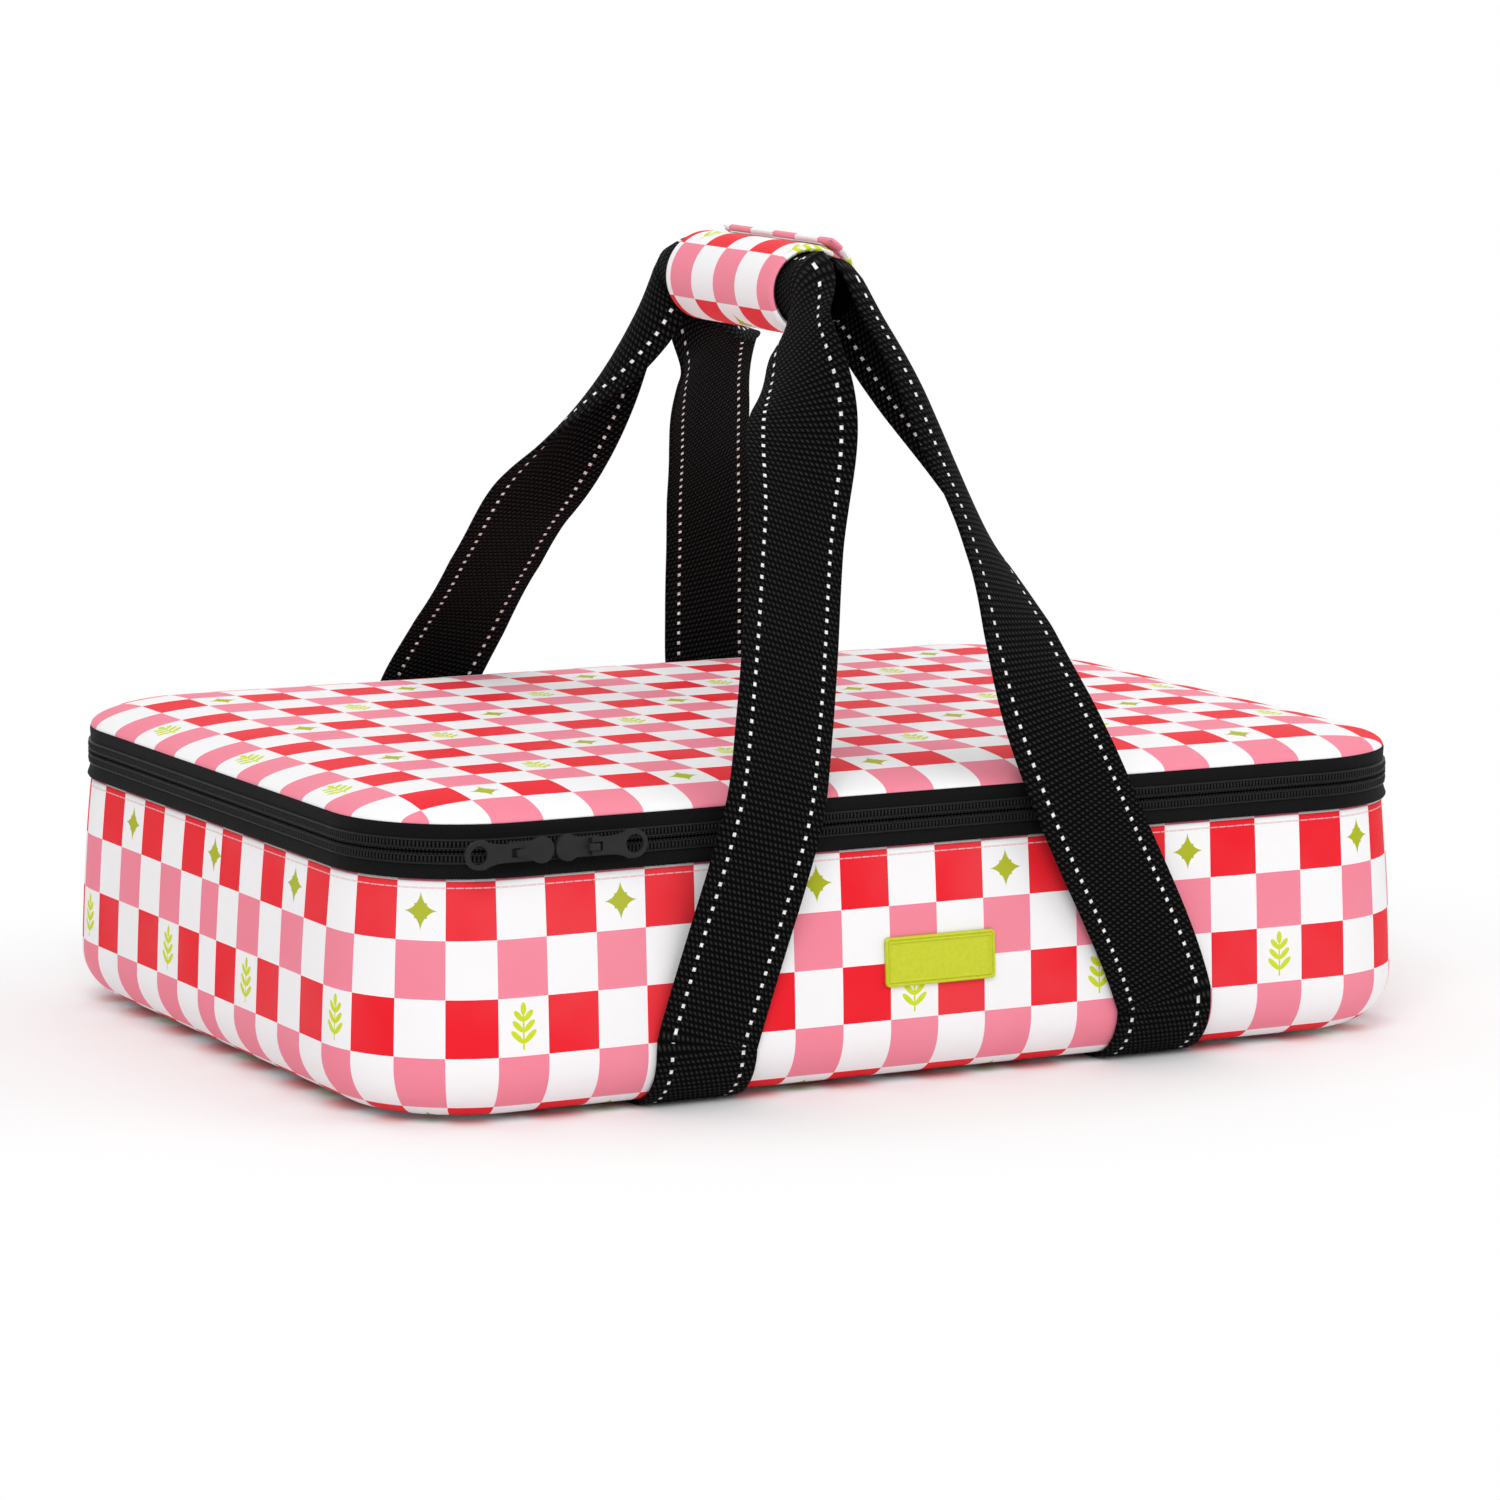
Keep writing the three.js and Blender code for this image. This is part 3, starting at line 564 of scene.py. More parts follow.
# The outline as centres of turning and outward directions: a point at an inset is centre + out times
# (corner - inset). Columns are steps along the outline, from the middle of the front towards the right end
def makeOutline(c, arcSteps=14, longSteps=64, shortSteps=40):
    ax, ay = c["width"] / 2 - c["corner"], c["depth"] / 2 - c["corner"]
    quarter = pi / 2 * c["corner"]
    parts = []  # of each side or corner its centres, directions and runs
    counts = (longSteps // 2, longSteps, shortSteps, arcSteps)
    half, long, short, arc = (np.linspace(0, 1, count, endpoint=False) for count in counts)

    # a straight side, from start to end
    def straight(t, start, end, out):
        at = np.outer(1 - t, start) + np.outer(t, end)
        parts.append((at, np.tile(out, (len(t), 1)), t * np.linalg.norm(np.subtract(end, start))))

    # a quarter turn about a centre, from a starting angle
    def corner(centre, start):
        angle = start + arc * pi / 2
        out = np.stack([np.cos(angle), np.sin(angle)], 1)
        parts.append((np.tile(centre, (len(arc), 1)), out, arc * quarter))

    straight(half, (0, -ay), (ax, -ay), (0, -1))
    corner((ax, -ay), -pi / 2)
    straight(short, (ax, -ay), (ax, ay), (1, 0))
    corner((ax, ay), 0)
    straight(long, (ax, ay), (-ax, ay), (0, 1))
    corner((-ax, ay), pi / 2)
    straight(short, (-ax, ay), (-ax, -ay), (-1, 0))
    corner((-ax, -ay), pi)
    straight(half, (-ax, -ay), (0, -ay), (0, -1))
    lengths = [ax, quarter, 2 * ay, quarter, 2 * ax, quarter, 2 * ay, quarter, ax]
    starts = np.concatenate([[0], np.cumsum(lengths)[:-1]])
    at, out = (np.concatenate([part[k] for part in parts]) for k in range(2))
    run = np.concatenate([part[2] + start for part, start in zip(parts, starts)])
    return at, out, run, lengths


outlineAt, outlineOut, outlineRun, outlineParts = makeOutline(case)
outlineLength = sum(outlineParts)
runFromFront = np.where(outlineRun > outlineLength / 2, outlineLength - outlineRun, outlineRun)


# Points on one line of the outline for each (inset, height) of a section
def sectionGrid(section, at, out):
    plan = at[None] + out[None] * (case["corner"] - section[:, 0])[:, None, None]
    tall = np.broadcast_to(section[:, 1][:, None, None], plan.shape[:2] + (1,))
    return np.concatenate([plan, tall], -1)


# Rings round the whole outline at given insets and heights, one row each
def rings(insets, heights):
    return sectionGrid(np.stack([insets, heights], 1), outlineAt, outlineOut)


# Rings that shrink from the last of a grid to its middle, which stays open by a hair
def closeInward(grid, inset, height, steps):
    shrink = np.linspace(1, 0, steps)[1:]
    shrink[-1] = 1e-4
    inner = rings(np.full(len(shrink), inset), np.full(len(shrink), height))
    inner[..., :2] *= shrink[:, None, None]
    return np.concatenate([grid, inner])


# Print columns: unrolled round the outline in two lengths of cloth that meet at the middle of each end,
# the one at the back starting a little short, so that a check there is narrow
def printColumns(c):
    lengths = np.array(outlineParts)
    cloth = lengths + np.array([0, 1] * 4 + [0]) * pi / 2 * (c["clothCorner"] - c["corner"])
    knots, clothKnots = (np.concatenate([[0], np.cumsum(each)]) for each in (lengths, cloth))
    start = np.interp(np.concatenate([outlineRun, [outlineLength]]), knots, clothKnots)
    total = clothKnots[-1]
    middle = (start[:-1] + start[1:]) / 2
    inFront = (middle < total / 4) | (middle > total * 3 / 4 + c["seamAhead"])
    shift = np.where(middle > total / 2, -total, 0) + c["clothStart"]
    edges = np.stack([start[:-1], start[1:]], 1)
    front = (edges + shift[:, None]) / checkSize
    back = (edges - total + c["clothStart"]) / checkSize + c["backShift"]
    return np.where(inFront[:, None], front, back)


# Corners of the faces of rings: columns (n, 2) holds u at both sides of each face, v one value a row
def ringCorners(columns, v):
    left, right = (np.tile(columns[None, :, k], (len(v) - 1, 1)) for k in range(2))
    low, high = (each[:, None] * np.ones(len(columns)) for each in (v[:-1], v[1:]))
    corners = [np.stack(pair, -1) for pair in ((left, low), (right, low), (right, high), (left, high))]
    return np.stack(corners, 2).reshape(-1, 4, 2)


# Walls and base: a wall that leans out, a round edge, then rings that shrink to the middle of the base.
# The walls bulge by a power of a half wave of the height and by slow waves, both held off the straps
def makeBody(c):
    wall = np.linspace(0, 1, 26)
    turn = np.linspace(0, pi / 2, 13)[1:]
    insets = np.concatenate([-c["flare"] * wall, -c["flare"] + c["fillet"] * (1 - np.cos(turn))])
    wallHeights = c["bandLow"] + (wallFoot - c["bandLow"]) * wall
    heights = np.concatenate([wallHeights, wallFoot - c["fillet"] * np.sin(turn)])
    grid = rings(insets, heights)
    x, y, z = grid[..., 0], grid[..., 1], grid[..., 2]
    low = wallFoot - c["bulgeEdge"]
    swell = np.sin(pi * np.clip((z - low) / (c["bandLow"] - low), 0, 1)) ** 0.8
    offStrap = np.clip((np.abs(np.abs(x) - c["strapAt"]) - c["strapHalf"]) / c["offStrap"], 0, 1)
    onEnds = np.clip((np.abs(x) - c["endsFrom"]) / c["endsOver"], 0, 1)
    free = np.maximum(offStrap, onEnds)
    push = swell * free * (c["bulge"] + c["wave"] * slowWaves(x, y, z, 4))
    grid[..., :2] += outlineOut[None] * push[..., None]
    grid = closeInward(grid, insets[-1], c["underside"], 12)
    down = np.concatenate([[0], np.cumsum(np.hypot(np.diff(insets), np.diff(heights)))])
    onWalls = ringCorners(printColumns(c), (c["rowAt"] - c["bandLow"] + down) / c["rowHeight"])

    # on the base the print lies flat
    def cornersOf(plan):
        return np.concatenate([onWalls, plan[len(onWalls):] / checkSize + c["baseShift"]])

    nodes = ["body_shell", "body_foam"]
    makeSheet("printed_body", grid, cornersOf, 50, "wall", c["shell"], "case", nodes)


makeBody(case)


# Lid: from the band a round soft edge, a quarter of an ellipse, then a nearly flat top that rises to its
# middle and to the back, with slow waves
def makeLid(c):
    turn = np.linspace(0, pi / 2, 22)
    insets = c["crownInset"] * (1 - np.cos(turn))
    heights = c["bandHigh"] + c["lidRise"] * np.sin(turn)
    grid = closeInward(rings(insets, heights), insets[-1], heights[-1], 22)
    x, y, z = grid[..., 0], grid[..., 1], grid[..., 2]
    up = (z - c["bandHigh"]) / c["lidRise"]
    nearX = np.abs(x) / (c["width"] / 2 - c["crownInset"])
    nearY = np.abs(y) / (c["depth"] / 2 - c["crownInset"])
    dome = c["lidDome"] * np.clip(1 - np.maximum(nearX, nearY), 0, 1)
    grid[..., 2] += dome + c["lidLean"] * up * y / (c["depth"] / 2)
    grid[..., 2] += up ** 2 * c["lidWave"] * slowWaves(x * 0.7, y * 0.7, 0, 9)

    # the print lies flat, its rows counted from the back
    def cornersOf(plan):
        shiftU, shiftV = c["lidShift"]
        return np.stack([plan[..., 0] / checkSize + shiftU, shiftV - plan[..., 1] / checkSize], -1)

    nodes = ["lid_shell", "lid_foam"]
    makeSheet("printed_lid", grid, cornersOf, 50, "lid", c["shell"], "lid", nodes)


makeLid(case)
print("case and lid made")

# Lining inside the case and under the lid
lining = {
    "inset": 7.3,
    "floor": 12.2,
    "rim": 91.6,
    "lidRim": 93.6,
    "lidDrop": 6.9,  # from the band's top to the edge of the lid's hollow
    "thickness": 0.8,
    "crease": 0.25,
    "creaseFrom": 20,  # the creases grow to their full height over this far from the rim
    "clothSize": 20,
}


# The body's lining: walls beside the foam, a round edge and a floor with low creases. The lid's: a short
# wall, a quarter of an ellipse and a flat roof
def makeLinings(c, l):
    depth, floor = l["inset"] + l["thickness"], l["floor"]
    radius = c["fillet"] - l["inset"]
    turn = np.linspace(0, pi / 2, 9)[1:]
    wall = np.linspace(0, 1, 18)
    inset = np.concatenate([
        depth - c["flare"] * wall * 0.999,
        depth - c["flare"] + radius * (1 - np.cos(turn)),
    ])
    height = np.concatenate([
        l["rim"] + (floor + radius - l["rim"]) * wall,
        floor + radius * (1 - np.sin(turn)),
    ])
    tray = closeInward(rings(inset, height), inset[-1], height[-1], 20)
    x, y, z = tray[..., 0], tray[..., 1], tray[..., 2]
    grown = np.clip((l["rim"] - z) / l["creaseFrom"], 0, 1) * (z < floor + 1)
    tray[..., 2] += grown * l["crease"] * (1 + slowWaves(x * 1.6, y * 1.6, z * 1.6, 21))
    turn = np.linspace(0, pi / 2, 14)
    inset = np.concatenate([[depth], c["crownInset"] - (c["crownInset"] - depth) * np.cos(turn)])
    low = c["bandHigh"] - l["lidDrop"]
    height = np.concatenate([[l["lidRim"]], low + (c["lidRise"] + l["lidDrop"] - depth) * np.sin(turn)])
    cover = closeInward(rings(inset, height), inset[-1], height[-1], 20)

    # the cloth lies flat
    def cornersOf(plan):
        return plan / l["clothSize"]

    thickness = l["thickness"] * 0.9
    makeSheet("case_lining", tray, cornersOf, 60, "lining", thickness, "case", ["body_lining"])
    makeSheet("lid_lining_sheet", cover, cornersOf, 20, "lining", thickness, "lid", ["lid_lining"])


makeLinings(case, lining)


# A closed strip along part of the outline, or all of it, from a section of (inset, height) points in order
def makeStrip(name, section, columns, finish, body, node):
    section = np.asarray(section, float)
    whole = columns is None
    at, out, run = (each if whole else each[columns] for each in (outlineAt, outlineOut, outlineRun))
    if not whole and abs(run[-1] - run[0]) > outlineLength / 2:
        # a part that goes through the middle of the front starts from its left end
        run = run + np.where(run > outlineLength / 2, -outlineLength, 0)
        order = np.argsort(run)
        at, out, run = at[order], out[order], run[order]
    grid = sectionGrid(section, at, out)
    points = grid.reshape(-1, 3)
    faces = gridFaces(*grid.shape[:2], wrapRows=True, wrapColumns=whole)
    along = np.concatenate([run, [outlineLength]]) if whole else run
    u = np.tile(along, (len(section) + 1, 1))
    v = np.tile(wayTo(np.vstack([section, section[:1]]))[:, None], (1, len(along)))
    corners = cornerGrid(u, v)
    if not whole:
        faces, corners = closeEnds(faces, corners, *grid.shape[:2])
    faces, corners = turnedOut(points, faces, corners)
    settle(makePiece(name, points, faces, corners, finish), body, [node])


# Zip band: tapes of herringbone with a soft outer edge, bindings inside, teeth in two rows
zipBand = {
    "tape": 0.8,
    "endAngle": 0.86,  # share of each rear corner that the zip runs round
    "edgeOut": 1.3,  # how far the lower edge of the lower tape stands out
    "bindingTall": 0.75,
    "bindingInsets": (1.5, 4.5, 8.2),
    "pitch": 1.33,
    "toothProud": 1.0,
    "toothLow": 0.9,  # from the edge of each tape
    "toothHigh": 3.5,
    "toothWidth": 0.8,
    "rail": 0.95,
}

# Half the zip's length: half the front, a corner, an end and the given share of a rear corner
zipHalfRun = sum(outlineParts[:3]) + zipBand["endAngle"] * outlineParts[3]
zipSpan = np.nonzero(runFromFront <= zipHalfRun + 1e-6)[0]


# Both tapes and both bindings, each from its own section
def makeTapes(c, z):
    t, edge = z["tape"], -z["edgeOut"]
    low, high = c["bandLow"] + 0.1, c["bodyRim"]
    lower = [
        (t, low), (0.2 + edge, low), (edge - 0.1, low + 0.7), (edge * 0.55, low + 2.6),
        (-0.1, low + 4.8), (0, high), (t, high), (t, (low + high) / 2),
    ]
    low, high = c["lidRim"], c["bandHigh"] - 0.2
    upper = [(t, low), (0, low), (-0.1, low + 4), (-0.35, high - 0.8), (-0.1, high), (t, high)]
    makeStrip("zip_tape_lower_cloth", lower, zipSpan, "tape", "case", "zip_tape_lower")
    makeStrip("zip_tape_upper_cloth", upper, zipSpan, "tape", "lid", "zip_tape_upper")
    near, middle, far = z["bindingInsets"]
    for name, low, body, node in (
        ("case_binding", c["bodyRim"] - z["bindingTall"], "case", "body_binding"),
        ("lid_binding_tape", c["lidRim"], "lid", "lid_binding"),
    ):
        high = low + z["bindingTall"]
        section = [(near, low), (near, high), (middle, high), (far, high), (far, low), (middle, low)]
        makeStrip(name, section, None, "tape", body, node)


makeTapes(case, zipBand)


# Centres of turning, outward and sideways directions at given runs along the outline
def alongOutline(run):
    knots = np.concatenate([outlineRun, [outlineLength]])
    wrapped = np.mod(run, outlineLength)
    at, out = (
        np.stack([np.interp(wrapped, knots, np.append(each[:, k], each[0, k])) for k in range(2)], 1)
        for each in (outlineAt, outlineOut)
    )
    out /= np.linalg.norm(out, axis=1, keepdims=True)
    return at, out, np.stack([-out[:, 1], out[:, 0]], 1)


# Upright ribs: in each, rings of six points follow a half wave out from the tape and back, from its low
# to its high end
def ribPoints(c, run, low, high, proud, width):
    at, out, side = alongOutline(run)
    rise, ring = np.linspace(0, pi, 5), np.linspace(0, 2 * pi, 6, endpoint=False)
    rows, columns = len(rise), len(ring)
    reach = c["corner"] + proud * np.sin(rise)[:, None] ** 0.4 + 0.2 * np.cos(ring)[None] - 0.1
    across = width / 2 * np.sin(ring)[None] * np.ones((rows, 1))
    tall = (low + high) / 2 - (high - low) / 2 * np.cos(rise)
    plan = at[:, None, None] + out[:, None, None] * reach[..., None] + side[:, None, None] * across[..., None]
    grid = np.concatenate([plan, np.broadcast_to(tall[None, :, None, None], plan.shape[:3] + (1,))], -1)
    caps = np.array([[3, 2, 1, 0], [5, 4, 3, 0]])
    one = np.concatenate([
        gridFaces(rows, columns, wrapColumns=True), caps, caps[:, ::-1] + (rows - 1) * columns,
    ])
    faces = one[None] + (np.arange(len(run)) * rows * columns)[:, None, None]
    return grid.reshape(-1, 3), faces.reshape(-1, 4)


# A rail: a low rounded ridge, a power of a half wave, carried along the zip and closed at both ends
def railPoints(run, low, high, proud):
    at, out, _ = alongOutline(run)
    turn = np.linspace(0, pi, 6)
    reach = np.concatenate([proud * np.sin(turn) ** 0.5, [-0.1, -0.1]]) - 0.02
    tall = np.concatenate([(low + high) / 2 - (high - low) / 2 * np.cos(turn), [high, low]])
    grid = sectionGrid(np.stack([-reach, tall], 1), at, out)
    faces, _ = closeEnds(gridFaces(*grid.shape[:2], wrapRows=True), None, *grid.shape[:2])
    return grid.reshape(-1, 3), faces


# Teeth: two ladders of ribs between rails, and a row of small ones where the halves meet
def makeTeeth(c, z):
    count = int(2 * zipHalfRun / z["pitch"])
    run = ((np.arange(count) + 0.5) / count * 2 - 1) * zipHalfRun
    railRun = np.linspace(-1, 1, 420) * zipHalfRun
    low, high = z["toothLow"], z["toothHigh"]
    for name, edge, way, body, node in (
        ("zip_teeth_lower", c["bodyRim"], -1, "case", "zip_coil_lower"),
        ("zip_teeth_upper", c["lidRim"], 1, "lid", "zip_coil_upper"),
    ):
        ladder, meeting, outerRail, innerRail = (
            sorted((edge + way * start, edge + way * end))
            for start, end in ((low, high), (0.0, low - 0.2), (high - 0.3, high + 0.5), (low - 0.35, low + 0.35))
        )
        parts = [
            ribPoints(c, run, *ladder, z["toothProud"], z["toothWidth"]),
            ribPoints(c, run + z["pitch"] / 2, *meeting, z["toothProud"], z["toothWidth"]),
            railPoints(railRun, *outerRail, z["rail"]),
            railPoints(railRun, *innerRail, z["rail"]),
        ]
        starts = np.cumsum([0] + [len(points) for points, _ in parts])
        faces = [turnedOut(*part)[0] + start for part, start in zip(parts, starts)]
        points = np.concatenate([points for points, _ in parts])
        settle(makePiece(name, points, np.concatenate(faces), None, "coil"), body, [node])


makeTeeth(case, zipBand)


# Hinge: the black strip that joins the lid to the case behind, bowed out by a half wave
def makeHinge(c):
    heights = np.linspace(c["bandLow"] + 0.3, c["bandHigh"] - 0.3, 9)
    outer = np.stack([-0.1 - 0.5 * np.sin(np.linspace(0, pi, 9)), heights], 1)
    inner = np.stack([np.full(9, 0.75), heights], 1)[::-1]
    back = np.nonzero(runFromFront > zipHalfRun + 3)[0]
    makeStrip("hinge_tape", np.concatenate([outer, inner]), back, "tape", "hinge_strip", "hinge_strip")


makeHinge(case)
print("zip band made")

# Handles: each a closed band of webbing that runs under the case, up its walls and through the wrap.
# Each leg, by its side and end, has shares of the way in from the case to the end of the grip, a bow and
# a sway towards the middle, and the distances from the grip at which it is turned flat to the case and
# has lost its curl
strap = {
    "width": 38,
    "thickness": 1.6,
    "at": 90,
    "pivot": 22,
    "hangY": 157.7,
    "gripHeight": 265.4,
    "gripLength": 90,
    "gripX": 2,
    "gripY": -14,
    "gripYaw": -3,
    "leadIn": 12,
    "curl": 12.1,
    "parting": 0.8,
    "turnFrom": 1,
    "footHeights": (22, 32, 44, 60),
    "footY": (153.7, 153.9, 154.5, 155.8),
    "heights": (0.24, 0.33, 0.43, 0.54, 0.64, 0.74, 0.86, 0.94, 1),  # shares of the way up
    "legs": {
        (-1, -1): {
            "in": (0, 0, 0.09, 0.22, 0.36, 0.5, 0.69, 0.87, 1),
            "bow": -0.03, "sway": 0, "turned": 112, "curlFrom": 1, "curlTo": 34,
        },
        (-1, 1): {
            "in": (0, 0, 0.14, 0.38, 0.6, 0.77, 0.88, 0.95, 1),
            "bow": 0.1, "sway": 0.14, "turned": 112, "curlFrom": 40, "curlTo": 130,
        },
        (1, -1): {
            "in": (0, 0, 0.08, 0.23, 0.39, 0.55, 0.71, 0.87, 1),
            "bow": 0.144, "sway": 0.09, "turned": 215, "curlFrom": 33, "curlTo": 145,
        },
        (1, 1): {
            "in": (0, 0, 0.04, 0.12, 0.24, 0.43, 0.68, 0.86, 1),
            "bow": -0.19, "sway": 0.06, "turned": 60, "curlFrom": 6, "curlTo": 102,
        },
    },
    "edgeRadius": 19.1,  # of the turn under the case, about a line at edgeY and edgeZ
    "edgeY": 134.5,
    "edgeZ": 19.9,
    "step": 2.4,
    "swap": 12,  # the facing swaps from front to back over about this far in the grip
    "rowPitch": 2.05,
}


# A point, or an array of them, in the turned frame of the grip
def inGrip(s, x, y, z=0.0):
    a = radians(s["gripYaw"])
    x, y, z = np.broadcast_arrays(np.asarray(x, float), y, z)
    across = x * np.cos(a) - y * np.sin(a) + s["gripX"]
    along = x * np.sin(a) + y * np.cos(a) + s["gripY"]
    return np.stack([across, along, z + s["gripHeight"]], -1)


# A smooth curve through points: a Catmull-Rom spline whose knots are spaced by the root of the distance
def smoothCurve(points, perSpan=24):
    p = np.vstack([2 * points[0] - points[1], points, 2 * points[-1] - points[-2]])
    d = np.sqrt(np.linalg.norm(np.diff(p, axis=0), axis=1))[:, None]
    x0, x1, x2, x3 = p[:-3], p[1:-2], p[2:-1], p[3:]
    d0, d1, d2 = d[:-2], d[1:-1], d[2:]
    slope1 = ((x1 - x0) / d0 - (x2 - x0) / (d0 + d1) + (x2 - x1) / d1) * d1
    slope2 = ((x2 - x1) / d1 - (x3 - x1) / (d1 + d2) + (x3 - x2) / d2) * d1
    t = np.linspace(0, 1, perSpan, endpoint=False)[:, None, None]
    ends = (2 * t ** 3 - 3 * t ** 2 + 1) * x1 + (3 * t ** 2 - 2 * t ** 3) * x2
    curve = ends + (t ** 3 - 2 * t ** 2 + t) * slope1 + (t ** 3 - t ** 2) * slope2
    return np.vstack([curve.transpose(1, 0, 2).reshape(-1, 3), points[-1:]])


# Points at even steps along a line of points, and their places along it
def evenly(points, step):
    run = wayTo(points)
    stations = np.linspace(0, run[-1], int(run[-1] / step) + 1)
    return np.stack([np.interp(stations, run, points[:, k]) for k in range(3)], 1), stations


# From 0 at low to 1 at high, level at both: 3 squares less 2 cubes of the share
def easeStep(x, low, high):
    t = np.clip((x - low) / (high - low), 0, 1)
    return t * t * (3 - 2 * t)


# One leg from its foot to the grip's end. Its lean to the middle is its share of the height, plus a bow
# times the square of a half wave, plus a sway times a full wave times the half wave
def legPoints(s, side, end, tubeX):
    shape = s["legs"][side, end]
    climb = s["gripHeight"] - s["pivot"]
    top = inGrip(s, tubeX, end * (s["gripLength"] / 2 + s["leadIn"]))
    up = np.array([(z - s["pivot"]) / climb for z in s["footHeights"]] + list(s["heights"]))
    wave = np.sin(up * pi)
    lean = up + shape["bow"] * wave ** 2 + shape["sway"] * np.sin(2 * up * pi) * wave
    x = side * s["at"] + (top[0] - side * s["at"]) * lean
    hang = end * s["hangY"] + (top[1] - end * s["hangY"]) * np.array(shape["in"])
    y = np.concatenate([end * np.array(s["footY"]), hang])
    return np.stack([x, y, s["pivot"] + up * climb], 1)


# The whole way of a band: up the front leg, through the grip, down the back leg, and under the case by
# quarter rounds at the edges and a flat run between them
def strapRoute(s, side):
    tubeX = side * (s["parting"] / 2 + s["curl"])
    front, back = legPoints(s, side, -1, tubeX), legPoints(s, side, 1, tubeX)
    inside = np.array([-1, -0.5, 0, 0.5, 1]) * (s["gripLength"] + s["leadIn"]) / 2
    upper = smoothCurve(np.vstack([front, inGrip(s, tubeX, inside), back[::-1]]))
    turn = np.linspace(0, pi / 2, 12)
    y = s["edgeY"] + s["edgeRadius"] * np.cos(turn)
    z = s["edgeZ"] - s["edgeRadius"] * np.sin(turn)
    edge = np.stack([np.full(12, side * s["at"]), y, z], 1)
    flatY = np.linspace(s["edgeY"], -s["edgeY"], 22)[1:-1]
    flat = np.stack([np.full(20, side * s["at"]), flatY, np.full(20, s["edgeZ"] - s["edgeRadius"])], 1)
    return np.vstack([upper, edge, flat, edge[::-1] * (1, -1, 1)])


# The section of the band: a flat one with rounded edges, each point by its place across and through it
def strapSection(s):
    half, thick = s["width"] / 2, s["thickness"] / 2
    flat = np.linspace(-1, 1, 19) * (half - thick)
    turn = np.linspace(pi / 2, -pi / 2, 5)[1:-1]
    edge, through = (half - thick) + thick * np.cos(turn), thick * np.sin(turn)
    widthAt = np.concatenate([flat, edge, flat[::-1], -edge])
    return widthAt, np.concatenate([np.full(19, thick), through, np.full(19, -thick), -through])


# A band carried along its route: its face turns from the wall's to the grip's, and its section curls to
# half a tube in the wrap. On the curl a point is at radius times sine, and radius times cosine less one
def makeStrap(s, side, nodes, name):
    route = strapRoute(s, side)
    at, stations = evenly(np.vstack([route, route[:1]]), s["step"])
    at, total = at[:-1], stations[-1]
    along = np.roll(at, -1, 0) - np.roll(at, 1, 0)
    along /= np.linalg.norm(along, axis=1, keepdims=True)
    grip = inGrip(s, 0, 0)
    past = (at - grip) @ (inGrip(s, 0, 1) - grip)
    middle = np.argmin(np.where(at[:, 2] > s["gripHeight"] - 20, np.abs(past), np.inf))
    reach = np.abs(stations[:-1] - stations[middle] + past[middle])
    reach = np.minimum(reach, total - reach) - s["gripLength"] / 2
    front, back = s["legs"][side, -1], s["legs"][side, 1]
    turned, curlFrom, curlTo = (
        np.where(past < 0, front[key], back[key]) for key in ("turned", "curlFrom", "curlTo")
    )
    twist = pi / 2 * (1 - easeStep(reach, s["turnFrom"], turned))
    facing = (inGrip(s, side, 0) - grip)[None] * np.sin(twist)[:, None]
    facing[:, 1] += np.tanh(past / s["swap"]) * np.cos(twist)
    past = np.sign(at[:, 1]) * np.maximum(np.abs(at[:, 1]) - s["edgeY"], 0)
    roundEdge = np.stack([np.zeros(len(at)), past, at[:, 2] - s["edgeZ"]], 1)
    facing = np.where((at[:, 2] < s["edgeZ"])[:, None], roundEdge, facing)
    out = facing - along * np.sum(facing * along, 1, keepdims=True)
    out /= np.linalg.norm(out, axis=1, keepdims=True)
    across = np.cross(along, out)[:, None]
    out = out[:, None]
    curl = (1 - easeStep(reach, curlFrom, curlTo))[:, None]
    widthAt, through = strapSection(s)
    radius = s["curl"] / np.maximum(curl, 1e-4)
    angle = widthAt[None] / radius
    sine, cosine = np.sin(angle)[..., None], np.cos(angle)[..., None]
    face = across * sine + out * cosine
    radius = radius[..., None]
    grid = at[:, None] + across * (radius * sine) + out * (radius * (cosine - 1))
    grid = (grid + face * through[None, :, None]).transpose(1, 0, 2)
    points = grid.reshape(-1, 3)
    faces = gridFaces(*grid.shape[:2], wrapRows=True, wrapColumns=True)
    # a whole number of rows of the weave goes round the band
    weave = np.linspace(0, round(total / s["rowPitch"]) * s["rowPitch"], len(at) + 1)
    u = np.tile(np.append(widthAt, widthAt[0])[:, None], (1, len(at) + 1))
    corners = cornerGrid(u, np.tile(weave, (len(widthAt) + 1, 1)))
    faces, corners = turnedOut(points, faces, corners)
    piece = makePiece(name, points, faces, corners, "webbing")
    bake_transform(piece)
    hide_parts(*nodes)


makeStrap(strap, -1, ["strap_base_left", "strap_loop_left"], "handle_left")
makeStrap(strap, 1, ["strap_base_right", "strap_loop_right"], "handle_right")
print("handles made")

# Padded wrap round both handles: a sheet with soft round edges, an inner layer fixed round the webbing and
# a flap that closes over it, its free edge standing off
wrap = {
    "inner": 13.7,
    "padding": 2.4,
    "length": 90,
    "pad": (26, 268.6),  # degrees, 0 on the right and 90 on top
    "flap": (-90, 68),
    "flapRise": 4.2,
    "leaving": 1.2,
    "puff": 0.35,
    "puffFrom": 4.5,  # from the edge
    "puffOver": 8,
    "seam": 0.25,
    "seamFrom": 4.0,
    "seamWidth": 0.8,
    "firstCheck": -0.16,
    "rowHeight": 19.4,
    "tapeLength": 76,
    "tapeThickness": 0.35,
    "loopOff": 0.3,  # off the inner layer
    "hookUnder": 0.65,  # under the flap
}


# The radius of the inner layer's lower face, the same all round
def padRadius(angle):
    return np.full(angle.shape, wrap["inner"])


